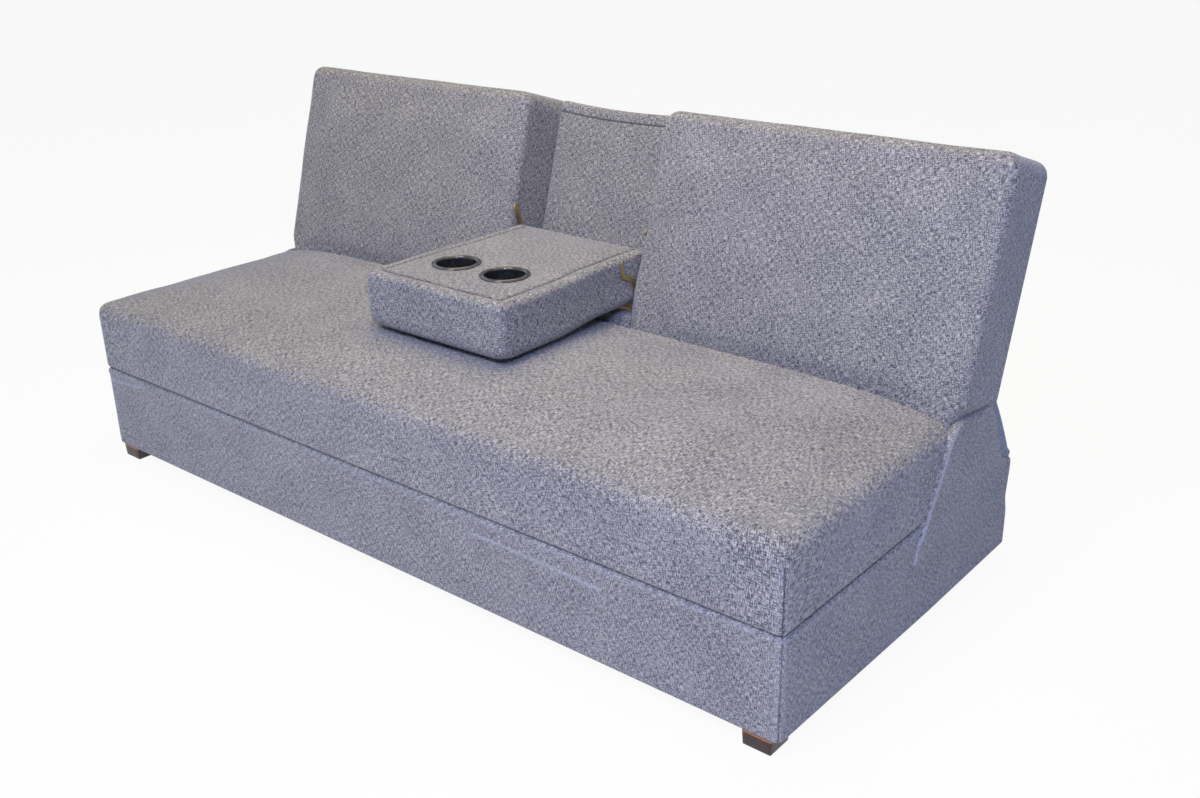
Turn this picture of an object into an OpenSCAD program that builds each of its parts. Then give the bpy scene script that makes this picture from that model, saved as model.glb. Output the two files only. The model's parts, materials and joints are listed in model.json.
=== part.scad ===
// Reclining three-seat sofa with a fold-down console between its two back cushions.
// X runs along the sofa, Y from its front to its back, Z up from the floor.
// Depths in the values below are counted from the front face of the base.
// Right is the +X side, which is the viewer's right from the front.

/* [Base] */
// Length of the sofa
sofa_w = 1900; // [1400:10:2400]
// Depth of the base box
base_d = 840; // [780:5:900]
// Height of the feet
foot_h = 31; // [20:1:60]
// Height of the base box at its front and sides
base_h = 195; // [170:1:260]
// Extra height of the base box at the rear
rear_rise = 13; // [0:1:14]
// Thickness of the base boards
board_t = 18; // [12:1:22]
// Thickness of the padded cover on the base
cover_t = 8; // [5:0.5:12]
// Radius of the upright corners of the base
corner_r = 14; // [9:1:24]
// Width of one foot
foot_w = 57; // [40:1:70]
// Distance from a foot to the sofa's end
foot_side_inset = 16; // [10:1:24]
// Distance from a foot to the front or rear face
foot_front_inset = 3; // [0:1:10]

/* [Seat] */
// Height of the seat cushion's side, from the seam to where the edge is fully turned
seat_side_h = 166; // [150:1:180]
// Radius of the seat cushion's upper edge
seat_edge_r = 34; // [20:1:45]
// Crown of the seat cushion above its edge
seat_crown_h = 34; // [10:1:44]
// Gap between the seat cushion and the sweep of the back's lower edge
seat_back_gap = 2.5; // [1.5:0.5:6]
// Height of the seat frame's rails
seat_rail_h = 50; // [40:1:60]
// Thickness of the seat frame's rails
seat_rail_t = 25; // [18:1:30]
// Number of slats under the seat cushion
slat_count = 14; // [8:1:18]
// Width of one slat
slat_w = 60; // [40:1:70]
// Thickness of one slat
slat_t = 8; // [6:0.5:10]

/* [Back] */
// Lean of the back from upright, in degrees
back_lean = 17; // [12:1:20]
// How far the foot of the back's face stands in from the base's rear
back_foot_inset = 267; // [250:1:267]
// Height of that point above the base's seam
back_foot_h = 179; // [174:1:184]
// Length of the back's face above that point
back_face_h = 464; // [420:1:520]
// Length of the back's face below that point
back_tail_h = 90; // [70:1:90]
// Thickness of the back
back_t = 160; // [157:1:160]
// Distance from the end of the back to the sofa's end
back_end_inset = 18; // [17:1:24]
// Width of the recess between the two back cushions
recess_w = 382; // [360:1:420]
// Depth of the recess from the back's face
recess_d = 115; // [114:0.5:118]
// Radius of the back cushions' edges
back_edge_r = 22; // [12:1:28]
// Radius of the back cushions' upright corners, seen from the front
back_corner_r = 30; // [22:1:45]
// Crown of the back cushions' faces
back_crown_h = 8; // [0:1:16]
// Height of the bolster at the foot of the recess
bolster_h = 30; // [20:1:32]

/* [Recline hinge] */
// Distance of the recline pivot behind the point where back and seat meet
recline_behind = 48; // [45:1:51]
// Distance of the recline pivot below that point
recline_below = 64; // [62:1:66]
// Radius of the recline pivot pin
recline_pin_r = 8; // [6:0.5:9]
// Radial clearance of a pin in its moving bore
pin_clear = 0.05; // [0.02:0.01:0.09]
// Thickness of the steel plates
plate_t = 4; // [3:0.5:5]
// Radius of the ratchet wheel over its teeth
ratchet_r = 22; // [20:0.5:23]
// Number of teeth on the ratchet wheel
ratchet_teeth = 20; // [16:1:30]

/* [Wings] */
// Thickness of the wing boards
wing_board_t = 10; // [8:1:12]
// Thickness of the padding outside the wing boards
wing_pad_t = 6; // [4:0.5:8]
// Height of the wings above the base's seam
wing_h = 160; // [150:1:165]
// How far the wings' padding reaches below the seam
wing_reach_h = 125; // [100:1:140]

/* [Console] */
// Length of the console from its front to its hinge end
console_l = 458; // [430:1:460]
// Width of the console
console_w = 368; // [340:1:368]
// Thickness of the console
console_t = 106; // [100:1:107]
// Height of the console's underside above the point where back and seat meet
console_above = 46; // [45:1:50]
// Distance of the console's hinge end behind that point
console_behind = 82; // [77:1:83]
// Radius of the console's lower edges
console_edge_r = 24; // [15:1:30]
// Radius of the console's upper edges
console_top_r = 10; // [5:1:14]
// Crown of the console's top
console_crown_h = 3; // [0:0.5:4]
// Distance of the console's pivot behind the point where back and seat meet
fold_behind = 40.5; // [39:0.5:42]
// Height of the console's pivot above that point
fold_above = 65.5; // [65:0.5:68]
// Radius of the console's pivot pins
fold_pin_r = 4; // [3:0.5:5]
// Thickness of the brass straps
strap_t = 2.2; // [1.8:0.1:2.4]
// Width of the brass straps
strap_w = 10; // [8:0.5:12]

/* [Cup holders] */
// Inner radius of a cup holder
cup_r = 41; // [36:0.5:44]
// Depth of a cup holder's inside
cup_depth = 66; // [50:1:72]
// Wall of a cup holder
cup_wall = 2; // [1.5:0.1:2.5]
// Radius of a cup holder's flange
cup_flange_r = 52.5; // [48:0.5:56]
// Distance between the two cup holders' centres
cup_pitch = 138; // [116:1:150]
// Distance from the console's front to the cup holders' centres
cup_front_inset = 140; // [110:1:180]

/* [Hidden] */

// Smoothness of turned parts
$fn = 48;
// Overrun that carries a cut past the face it opens
over = 1;
// Gap between a soft piece and the piece it lies against
soft_gap = 0.3;
// Half of the gap at the seam between base and seat
seam_gap = 1;

// Finishes, as red, green and blue shares
fabric_shares = [0.53, 0.53, 0.57];
fabric_dark_shares = [0.42, 0.43, 0.48];
wood_shares = [0.76, 0.62, 0.44];
foot_shares = [0.22, 0.13, 0.10];
steel_shares = [0.62, 0.63, 0.65];
brass_shares = [0.80, 0.62, 0.27];
plastic_shares = [0.04, 0.04, 0.05];

// Levels and faces of the base
half_w = sofa_w / 2;
seam_z = foot_h + base_h;
inner_half_w = half_w - cover_t;
board_half_w = inner_half_w - board_t;
front_inner_y = cover_t + board_t;
rear_inner_y = base_d - cover_t - board_t;
post_w = 45;
beam_w = 36;
beam_h = 60;
beam_ahead = 73;
beam_y = base_d - back_foot_inset - beam_ahead;
bottom_panel_t = 4;
cross_rail_w = 30;
cross_rail_h = 60;
cross_rail_xs_share = [-0.5, 0, 0.5];

// Bolts between feet and posts, and between seat and base
bolt_r = 4;
bolt_head_r = 9;
bolt_head_t = 4;
bolt_clear = 0.1;
foot_bolt_l = 70;
seat_bolt_reach = 50;

// Pivots, and the point where back and seat meet, in depth and height
back_foot_y = base_d - back_foot_inset;
back_foot_z = seam_z + back_foot_h;
recline_y = back_foot_y + recline_behind;
recline_z = back_foot_z - recline_below;
fold_y = back_foot_y + fold_behind;
fold_z = back_foot_z + fold_above;

// Back, in its own frame: across the sofa, rearward from the face, and up along the face
face_dir = [sin(back_lean), cos(back_lean)];
depth_dir = [cos(back_lean), -sin(back_lean)];
back_half_w = half_w - back_end_inset;
recess_half_w = recess_w / 2;
rear_cover_t = 6;
cushion_t = back_t - rear_cover_t - soft_gap;
frame_rear = back_t - rear_cover_t;
cushion_side_t = 36;
recess_side_t = 10;
frame_end_x = back_half_w - cushion_side_t;
frame_inner_x = recess_half_w + recess_side_t;
frame_low_inset = 14;
frame_top_inset = 20;
frame_bottom = frame_low_inset - back_tail_h;
frame_top = back_face_h - frame_top_inset;
rail_t = 24;
rail_h = 45;
end_board_front = 66;
inner_board_front = 12;
webbing_t = 2;
webbing_w = 50;
webbing_count = 5;
pivot_up = (recline_y - back_foot_y) * face_dir.x + (recline_z - back_foot_z) * face_dir.y;
pivot_in = (recline_y - back_foot_y) * depth_dir.x + (recline_z - back_foot_z) * depth_dir.y;
notch_above = 32;
notch_up = pivot_up + notch_above;
notch_in = 40;
cover_inset = 8;
cover_r = 20;
pocket_front = end_board_front - webbing_t - soft_gap;
panel_edge_r = 9;
bolster_edge_r = 16;
side_pull = 2;
back_crown_inset = 10;
back_crown_power = 4;
back_crown_shares = [0.94, 0.84, 0.68, 0.46, 0.22];
tail_r = norm([pivot_in, pivot_up + back_tail_h]);

// Seat frame, inside the cushion's pocket
seat_wall_t = 24;
seat_rear_wall_t = 12;
seat_d = recline_y - tail_r - seat_back_gap;
seat_frame_half_w = half_w - seat_wall_t - soft_gap;
seat_frame_front_y = seat_wall_t + soft_gap;
seat_frame_rear_y = seat_d - seat_rear_wall_t - soft_gap;
seat_rail_top_z = seam_z + seat_rail_h;
seat_rear_r = 12;
seat_pull = 2;
seat_side_power = 9;
seat_depth_power = 2.5;
seat_rear_crown_share = 1.35;
seat_crown_shares = [0.975, 0.93, 0.85, 0.68, 0.38];
seat_face_gap = 1;
pocket_r = 3;
wing_notch_run = 4;
wing_notch_gap = 1.5;
slat_cap_l = 26;
slat_cap_wall = 2;
slat_overlap = 20;
pocket_top_z = seat_rail_top_z + slat_t + 2 * slat_cap_wall + soft_gap;

// Middle of the whole depth, which is the origin's place
back_rear_y = back_foot_y + (back_face_h - cover_inset) * face_dir.x + back_t * depth_dir.x;
mid_y = back_rear_y / 2;

// Wings: outer padding, board within it, and the bracket on the board's inner face
wing_inner_x = inner_half_w;
wing_board_x = wing_inner_x + wing_board_t;
wing_outer_x = wing_board_x + wing_pad_t;
wing_rim = 5;
wing_tip_ahead = 135;
wing_tip_y = back_foot_y - wing_tip_ahead;
wing_seam_ahead = 118;
wing_seam_y = back_foot_y - wing_seam_ahead;
wing_front_ahead = 26;
wing_front_y = back_foot_y - wing_front_ahead;
wing_rear_behind = 139;
wing_rear_y = back_foot_y + wing_rear_behind;
wing_foot_behind = 209;
wing_foot_y = back_foot_y + wing_foot_behind;
wing_corner_r = 45;
wing_fade_h = 70;
wing_board_reach_h = 66;
wing_top_z = seam_z + wing_h;
wing_top_fall = 6;
screw_r = 2.5;
screw_head_r = 5;
screw_head_t = 2.5;
screw_l = 16;

// Recline mechanism, outward from the back's end board
bracket_x = wing_inner_x - plate_t;
bracket_front = 34;
bracket_rear = 34;
bracket_below = 90;
bracket_above = 32;
plate_corner_r = 10;
hub_r = 16;
hub_inset = 13;
hub_end_x = bracket_x - hub_inset;
wheel_t = 6;
tooth_fall_share = 0.15;
tooth_h = 3;
arm_plate_t = 5;
arm_front = 42;
arm_rear = 146;
arm_low_inset = 3;
arm_top_inset = 6;
arm_bottom = frame_bottom + arm_low_inset;
arm_top = notch_up - arm_top_inset;
arm_bolt_edge = 16;
arm_bolt_pitch = 30;
arm_bolt_r = 4;
arm_bolt_l = 14;
arm_head_r = 7;
arm_head_t = 4;
pawl_pin_r = 3;
pawl_drop = 38;
pawl_w = 12;
pawl_tip_w = 4;
pawl_gap = 0.6;
pawl_t = 5;

// Console, in the sofa's own frame
console_half_w = console_w / 2;
console_rear_y = back_foot_y + console_behind;
console_front_y = console_rear_y - console_l;
console_z = back_foot_z + console_above;
console_top_z = console_z + console_t;
console_board_t = 12;
console_board_edge = 2;
console_board_inset = console_edge_r + console_board_edge;
console_board_half_w = console_half_w - console_board_inset;
cheek_t = 15;
cheek_h = 62;
cheek_l = 340;
cheek_rear_gap = 14;
strap_gap = 0.2;
rivet_r = 3;
rivet_head_r = 7;
rivet_head_t = 1.6;
rivet_behind = -5;
rivet_above = 116;
limb_above = 142;
strap_bend_behind = 33;
strap_bend_above = 95;
back_bolt_in = 18;
back_bolt_up = 205;
back_bend_in = 42;
back_bend_up = 166;
strap_head_r = 8;
strap_head_t = 1.6;
limb_w = 7;
console_pull = 2;
console_crown_power = 6;
console_crown_shares = [0.94, 0.84, 0.66, 0.36];
console_corner_r = 14;
hole_clear = 0.5;
nut_r = 7;
nut_t = 6;
console_strap_x = console_half_w + strap_gap;
back_strap_x = recess_half_w - strap_gap - strap_t;
rivet_y = back_foot_y + rivet_behind;
rivet_z = back_foot_z + rivet_above;
limb_top_z = back_foot_z + limb_above;
strap_bend_y = back_foot_y + strap_bend_behind;
strap_bend_z = back_foot_z + strap_bend_above;
cup_y = console_front_y + cup_front_inset;
cup_flange_t = 3;
cup_seat_z = console_top_z + console_crown_h + soft_gap;
cup_clear = 0.5;
cup_floor_r = 6;
cup_rim_r = 1.4;

// Rear flap between the back and the base
flap_t = 2;
flap_top_up = 34;
flap_gap = 1;
flap_bow = 10;
flap_steps = 8;
flap_foot_h = 10;

// Corner and edge steps of a soft form
corner_steps = 5;
edge_steps = 5;

// Unit vector along v
function unit(v) = v / norm(v);

// Points of the arc of radius r that rounds corner b between a and c
function fillet(a, b, c, r, n) =
  let (
    u = unit(a - b),
    w = unit(c - b),
    half = acos(u * w) / 2,
    centre = b + unit(u + w) * r / sin(half),
    p = b + u * r / tan(half) - centre,
    q = b + w * r / tan(half) - centre,
    start = atan2(p.y, p.x),
    turn = (atan2(q.y, q.x) - start + 540) % 360 - 180
  )
  [for (i = [0:n]) centre + r * [cos(start + turn * i / n), sin(start + turn * i / n)]];

// Outline through the given points, with each corner rounded by its own radius
function rounded(points, radii, n = 6) =
  let (count = len(points))
  [for (i = [0:count - 1])
    let (a = points[(i + count - 1) % count], b = points[i], c = points[(i + 1) % count])
    each (radii[i] > 0 ? fillet(a, b, c, radii[i], n) : [b])];

function rectangle(x0, x1, y0, y1) = [[x0, y0], [x1, y0], [x1, y1], [x0, y1]];

// Points between a and b, without either, drawn in by pull halfway along
function between(a, b, n, pull) =
  let (across = [b.y - a.y, a.x - b.x] / norm(b - a))
  [for (i = [1:n - 1]) a + (b - a) * i / n - across * pull * sin(180 * i / n)];

// Ring of a soft form: a rounded rectangle, its sides drawn in between the corners
function soft_ring(x0, x1, y0, y1, r, nx, ny, pull) =
  let (
    corners = rectangle(x0, x1, y0, y1),
    arcs = [for (i = [0:3]) fillet(corners[(i + 3) % 4], corners[i], corners[(i + 1) % 4], r, corner_steps)]
  )
  [for (i = [0:3])
    let (next = arcs[(i + 1) % 4][0], last = arcs[i][corner_steps])
    each concat(arcs[i], between(last, next, i % 2 == 0 ? nx : ny, pull))];

// Ring drawn towards a centre by a share of its size
function shrunk(ring, centre, share) = [for (p = ring) centre + share * (p - centre)];

// Height share of a crown at t, which runs from -1 at one edge to 1 at the other
function crown_share(t, power) = 1 - pow(min(1, abs(t)), power);

// Ring at one height
function at_height(ring, z) = [for (p = ring) [p.x, p.y, z]];

// Closed solid through rings of equal count, closed by a fan to a point at each end
module ring_solid(rings, first, last) {
  n = len(rings[0]);
  count = len(rings);
  points = concat([first], [for (r = rings) each r], [last]);
  bottom = [for (i = [0:n - 1]) [0, 1 + i, 1 + (i + 1) % n]];
  walls = [for (k = [0:count - 2], i = [0:n - 1])
    let (a = 1 + k * n + i, b = 1 + k * n + (i + 1) % n)
    each [[a, b + n, b], [a, a + n, b + n]]];
  top = [for (i = [0:n - 1])
    let (a = 1 + (count - 1) * n)
    [1 + count * n, a + (i + 1) % n, a + i]];
  polyhedron(points, concat(bottom, walls, top), convexity = 6);
}

// Block between two corners
module block(a, b) {
  translate(a) cube(b - a);
}

// Plate from x0 to x1 whose outline lies in depth and height
module plate_x(x0, x1, outline) {
  translate([x0, 0, 0]) rotate([90, 0, 90]) linear_extrude(x1 - x0) polygon(outline);
}

// Block across depth and height whose outline lies in X and Z
module plate_y(y0, y1, outline) {
  translate([0, y1, 0]) rotate([90, 0, 0]) linear_extrude(y1 - y0) polygon(outline);
}

// Rod along X between x0 and x1
module rod_x(x0, x1, y, z, r) {
  translate([min(x0, x1), y, z]) rotate([0, 90, 0]) cylinder(h = abs(x1 - x0), r = r);
}

// Places depths that are counted from the base's front
module in_place() {
  translate([0, -mid_y, 0]) children();
}

// Places a piece of the back, given across, rearward from the face and up along it
module on_back() {
  translate([0, back_foot_y - mid_y, back_foot_z]) rotate([-back_lean, 0, 0]) children();
}

// Second copy on the other side of the sofa
module both_sides() {
  children();
  mirror([1, 0, 0]) children();
}

module left() {
  mirror([1, 0, 0]) children();
}

// Base box

module base_front_board() {
  color(wood_shares) in_place()
    block([-board_half_w, cover_t, foot_h], [board_half_w, front_inner_y, seam_z]);
}

module base_rear_board() {
  color(wood_shares) in_place()
    block([-board_half_w, rear_inner_y, foot_h], [board_half_w, base_d - cover_t, seam_z + rear_rise]);
}

module base_side_board() {
  color(wood_shares) in_place() difference() {
    block([board_half_w, cover_t, foot_h], [inner_half_w, base_d - cover_t, seam_z]);
    wing_screw_holes();
  }
}

module base_side_board_right() {
  base_side_board();
}

module base_side_board_left() {
  left() base_side_board();
}

bolt_x = board_half_w - post_w / 2;
foot_bolt_y = front_inner_y + (foot_w + foot_front_inset - front_inner_y) / 2;
seat_bolt_front_y = seat_frame_front_y + seat_rail_t / 2;
seat_bolt_rear_y = seat_frame_rear_y - seat_rail_t / 2;

module seat_bolt_holes() {
  both_sides() for (y = [seat_bolt_front_y, seat_bolt_rear_y])
    translate([bolt_x, y, seam_z - seat_bolt_reach])
      cylinder(h = seat_bolt_reach + seat_rail_h + over, r = bolt_r + bolt_clear);
}

module foot_bolt_holes() {
  both_sides() for (y = [foot_bolt_y, base_d - foot_bolt_y])
    translate([bolt_x, y, -over]) cylinder(h = foot_bolt_l + 2 * over, r = bolt_r + bolt_clear);
}

module base_corner_posts() {
  color(wood_shares) in_place() difference() {
    both_sides() {
      block([board_half_w - post_w, front_inner_y, foot_h + bottom_panel_t],
            [board_half_w, front_inner_y + post_w, seam_z]);
      block([board_half_w - post_w, rear_inner_y - post_w, foot_h + bottom_panel_t],
            [board_half_w, rear_inner_y, seam_z]);
    }
    seat_bolt_holes();
    foot_bolt_holes();
  }
}

module base_cross_rails() {
  rail_z = foot_h + bottom_panel_t;
  color(wood_shares) in_place() for (share = cross_rail_xs_share) {
    x = share * board_half_w;
    block([x - cross_rail_w / 2, front_inner_y, rail_z],
          [x + cross_rail_w / 2, rear_inner_y, rail_z + cross_rail_h]);
  }
}

module base_seat_beam() {
  color(wood_shares) in_place() difference() {
    block([-board_half_w, beam_y, seam_z - beam_h], [board_half_w, beam_y + beam_w, seam_z]);
    seat_bolt_holes();
  }
}

module base_bottom_panel() {
  color(wood_shares) in_place() difference() {
    block([-board_half_w, front_inner_y, foot_h], [board_half_w, rear_inner_y, foot_h + bottom_panel_t]);
    foot_bolt_holes();
  }
}

// Padded ring round the base; its four sides are cut from it at mitred corners
module base_ring(top_z) {
  translate([0, 0, foot_h]) linear_extrude(top_z - foot_h) difference() {
    polygon(rounded(rectangle(-half_w, half_w, 0, base_d), [corner_r, corner_r, corner_r, corner_r]));
    polygon(rectangle(-inner_half_w, inner_half_w, cover_t, base_d - cover_t));
  }
}

module mitre_front(top_z) {
  translate([0, 0, foot_h - over]) linear_extrude(top_z) polygon([
    [-half_w - over, -over], [half_w + over, -over],
    [board_half_w, front_inner_y], [-board_half_w, front_inner_y]
  ]);
}

module mitre_side(top_z) {
  translate([0, 0, foot_h - over]) linear_extrude(top_z) polygon([
    [half_w + over, -over], [half_w + over, base_d + over],
    [board_half_w, rear_inner_y], [board_half_w, front_inner_y]
  ]);
}

module base_cover_front() {
  color(fabric_shares) in_place() intersection() {
    base_ring(seam_z - seam_gap);
    mitre_front(seam_z);
  }
}

module base_cover_rear() {
  top_z = seam_z + rear_rise;
  color(fabric_shares) in_place() intersection() {
    base_ring(top_z);
    translate([0, base_d, 0]) mirror([0, 1, 0]) mitre_front(top_z);
  }
}

module base_cover_side() {
  color(fabric_shares) in_place() difference() {
    intersection() {
      base_ring(seam_z - seam_gap);
      mitre_side(seam_z);
    }
    plate_x(inner_half_w - over, half_w + over, wing_outline(-soft_gap, wing_reach_h));
  }
}

module base_cover_right() {
  base_cover_side();
}

module base_cover_left() {
  left() base_cover_side();
}

module feet() {
  color(foot_shares) in_place() difference() {
    both_sides() for (y = [foot_front_inset, base_d - foot_front_inset - foot_w])
      block([half_w - foot_side_inset - foot_w, y, 0], [half_w - foot_side_inset, y + foot_w, foot_h]);
    foot_bolt_holes();
    both_sides() for (y = [foot_bolt_y, base_d - foot_bolt_y])
      translate([bolt_x, y, -over])
        cylinder(h = foot_h / 2 + over, r = bolt_head_r + bolt_clear);
  }
}

module foot_bolts() {
  color(steel_shares) in_place() both_sides() for (y = [foot_bolt_y, base_d - foot_bolt_y])
    translate([bolt_x, y, foot_h / 2 - bolt_head_t]) {
      cylinder(h = bolt_head_t, r = bolt_head_r);
      cylinder(h = foot_bolt_l - foot_h / 2, r = bolt_r);
    }
}

// Wings

// Depth of a wing's front edge at a height
function wing_front_at(z) =
  z > seam_z ? wing_seam_y + (wing_front_y - wing_seam_y) * (z - seam_z) / wing_h
  : wing_seam_y - (wing_seam_y - wing_tip_y) * min(1, (seam_z - z) / wing_fade_h);

// Outline of a wing in depth and height, drawn in by inset, down to reach below the seam
function wing_outline(inset, reach) =
  let (
    low_z = seam_z - reach + inset,
    tip_z = max(low_z + wing_rim, seam_z - wing_fade_h),
    rear_y = base_d - corner_r - inset
  )
  rounded([
    [wing_front_at(low_z) + inset, low_z],
    [rear_y, low_z],
    [rear_y, seam_z - seam_gap - inset],
    [wing_foot_y - inset, seam_z + rear_rise - inset],
    [wing_rear_y - inset, wing_top_z - wing_top_fall - inset],
    [wing_front_y + inset, wing_top_z - inset],
    [wing_seam_y + inset, seam_z],
    [wing_front_at(tip_z) + inset, tip_z]
  ], [0, 0, 0, wing_corner_r, wing_corner_r, wing_corner_r, wing_corner_r, 0]);

wing_screw_ys_share = [0.3, 0.6, 0.9];
wing_screw_z = seam_z - wing_board_reach_h / 2;

// Countersunk screw that points inward along X from x
module screw_in(x, y, z) {
  translate([x, y, z]) rotate([0, -90, 0]) {
    cylinder(h = screw_head_t, r1 = screw_head_r, r2 = screw_r);
    cylinder(h = screw_l, r = screw_r);
  }
}

module wing_screw_holes() {
  for (share = wing_screw_ys_share) screw_in(
    wing_board_x, wing_tip_y + share * (base_d - wing_tip_y), wing_screw_z);
}

bracket_outline = rounded(
  rectangle(recline_y - bracket_front, recline_y + bracket_rear,
            recline_z - bracket_below, recline_z + bracket_above),
  [plate_corner_r, plate_corner_r, plate_corner_r, plate_corner_r]);
bracket_screw_edge = 12;

// Screws that hold the bracket to the wing board, and point outward along X
module bracket_screw_shapes() {
  ys = [recline_y - bracket_front + bracket_screw_edge, recline_y + bracket_rear - bracket_screw_edge];
  zs = [recline_z - bracket_below + bracket_screw_edge, recline_z + bracket_above - bracket_screw_edge];
  for (y = ys, z = zs) translate([bracket_x, y, z]) rotate([0, 90, 0]) {
    cylinder(h = screw_head_t, r1 = screw_head_r, r2 = screw_r);
    cylinder(h = plate_t + wing_board_t * 2 / 3, r = screw_r);
  }
}

module wing_screws() {
  color(steel_shares) in_place() both_sides() {
    wing_screw_holes();
    bracket_screw_shapes();
  }
}

module wing_board() {
  color(wood_shares) in_place() difference() {
    plate_x(wing_inner_x, wing_board_x, wing_outline(wing_rim, wing_board_reach_h));
    wing_screw_holes();
    bracket_screw_shapes();
  }
}

module wing_board_right() {
  wing_board();
}

module wing_board_left() {
  left() wing_board();
}

// Padding over the board and its rim; below the seam its face slopes back to the base's side
module wing_pad() {
  low_z = seam_z - wing_reach_h;
  color(fabric_shares) in_place() difference() {
    plate_x(wing_inner_x, wing_outer_x, wing_outline(0, wing_reach_h));
    plate_x(wing_inner_x - over, wing_board_x, wing_outline(wing_rim, wing_board_reach_h));
    plate_y(0, base_d, [
      [half_w, low_z - over], [half_w, low_z], [wing_outer_x, seam_z - seam_gap],
      [wing_outer_x + over, seam_z - seam_gap], [wing_outer_x + over, low_z - over]
    ]);
  }
}

module wing_pad_right() {
  wing_pad();
}

module wing_pad_left() {
  left() wing_pad();
}

// Recline mechanism on the base side

module recline_bracket() {
  color(steel_shares) in_place() difference() {
    plate_x(bracket_x, wing_inner_x, bracket_outline);
    rod_x(bracket_x - over, wing_inner_x + over, recline_y, recline_z, recline_pin_r);
    rod_x(bracket_x - over, wing_inner_x + over, recline_y, recline_z - pawl_drop, pawl_pin_r);
    bracket_screw_shapes();
  }
}

module recline_bracket_right() {
  recline_bracket();
}

module recline_bracket_left() {
  left() recline_bracket();
}

module recline_pins() {
  color(steel_shares) in_place() both_sides()
    rod_x(frame_end_x + soft_gap, wing_inner_x, recline_y, recline_z, recline_pin_r);
}

module ratchet_pawls() {
  pin_z = recline_z - pawl_drop;
  tip_z = recline_z - ratchet_r - pawl_gap;
  color(steel_shares) in_place() both_sides() difference() {
    plate_x(hub_end_x, hub_end_x + pawl_t, rounded([
      [recline_y - pawl_w / 2, pin_z - pawl_w / 2],
      [recline_y + pawl_w / 2, pin_z - pawl_w / 2],
      [recline_y + pawl_tip_w / 2, tip_z],
      [recline_y - pawl_tip_w / 2, tip_z]
    ], [pawl_w / 3, pawl_w / 3, 0, 0]));
    rod_x(hub_end_x - over, hub_end_x + pawl_t + over, recline_y, pin_z, pawl_pin_r + pin_clear);
  }
}

module pawl_pins() {
  color(steel_shares) in_place() both_sides()
    rod_x(hub_end_x, wing_inner_x, recline_y, recline_z - pawl_drop, pawl_pin_r);
}

// Seat

module seat_rail(half, y0, y1) {
  color(wood_shares) in_place() difference() {
    block([-half, y0, seam_z], [half, y1, seat_rail_top_z]);
    seat_bolt_holes();
    seat_bolt_heads(bolt_clear);
  }
}

module seat_bolt_heads(clear) {
  both_sides() for (y = [seat_bolt_front_y, seat_bolt_rear_y])
    translate([bolt_x, y, seat_rail_top_z - bolt_head_t])
      cylinder(h = bolt_head_t + clear, r = bolt_head_r + clear);
}

module seat_front_rail() {
  seat_rail(seat_frame_half_w - pocket_r, seat_frame_front_y, seat_frame_front_y + seat_rail_t);
}

module seat_rear_rail() {
  seat_rail(seat_frame_half_w, seat_frame_rear_y - seat_rail_t, seat_frame_rear_y);
}

module seat_cross_rails() {
  y0 = seat_frame_front_y + seat_rail_t;
  y1 = seat_frame_rear_y - seat_rail_t;
  third = seat_frame_half_w / 3;
  color(wood_shares) in_place() both_sides() {
    block([seat_frame_half_w - seat_rail_t, y0, seam_z], [seat_frame_half_w, y1, seat_rail_top_z]);
    block([third - seat_rail_t / 2, y0, seam_z], [third + seat_rail_t / 2, y1, seat_rail_top_z]);
  }
}

slat_y0 = seat_frame_front_y + seat_rail_t - slat_overlap;
slat_y1 = seat_frame_rear_y - seat_rail_t + slat_overlap;
slat_z = seat_rail_top_z + slat_cap_wall;
slat_span = 2 * (bolt_x - bolt_head_r - slat_w / 2 - slat_cap_wall * 2);

function slat_x(i) = -slat_span / 2 + slat_span * i / (slat_count - 1);

module seat_slats() {
  color(wood_shares) in_place() for (i = [0:slat_count - 1])
    block([slat_x(i) - slat_w / 2, slat_y0, slat_z], [slat_x(i) + slat_w / 2, slat_y1, slat_z + slat_t]);
}

module slat_caps() {
  half_cap_w = slat_w / 2 + slat_cap_wall;
  color(plastic_shares) in_place() for (i = [0:slat_count - 1]) difference() {
    union() {
      block([slat_x(i) - half_cap_w, slat_y0 - slat_cap_wall, seat_rail_top_z],
            [slat_x(i) + half_cap_w, slat_y0 + slat_cap_l, slat_z + slat_t + slat_cap_wall]);
      block([slat_x(i) - half_cap_w, slat_y1 - slat_cap_l, seat_rail_top_z],
            [slat_x(i) + half_cap_w, slat_y1 + slat_cap_wall, slat_z + slat_t + slat_cap_wall]);
    }
    block([slat_x(i) - slat_w / 2, slat_y0, slat_z], [slat_x(i) + slat_w / 2, slat_y1, slat_z + slat_t]);
  }
}

module seat_bolts() {
  color(steel_shares) in_place() both_sides() {
    seat_bolt_heads(0);
    for (y = [seat_bolt_front_y, seat_bolt_rear_y])
      translate([bolt_x, y, seam_z - seat_bolt_reach])
        cylinder(h = seat_bolt_reach + seat_rail_h - bolt_head_t, r = bolt_r);
  }
}

// Depth of the seat's rear face at a height: it follows the sweep of the back's lower edge
function seat_rear_at(z) =
  let (
    sweep = tail_r + seat_back_gap,
    rise = min(sweep, max(0, z - recline_z)),
    swept_y = recline_y - sqrt(sweep * sweep - rise * rise),
    face_y = back_foot_y + (z - back_foot_z) * tan(back_lean) - seat_face_gap
  )
  min(swept_y, face_y);

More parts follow.
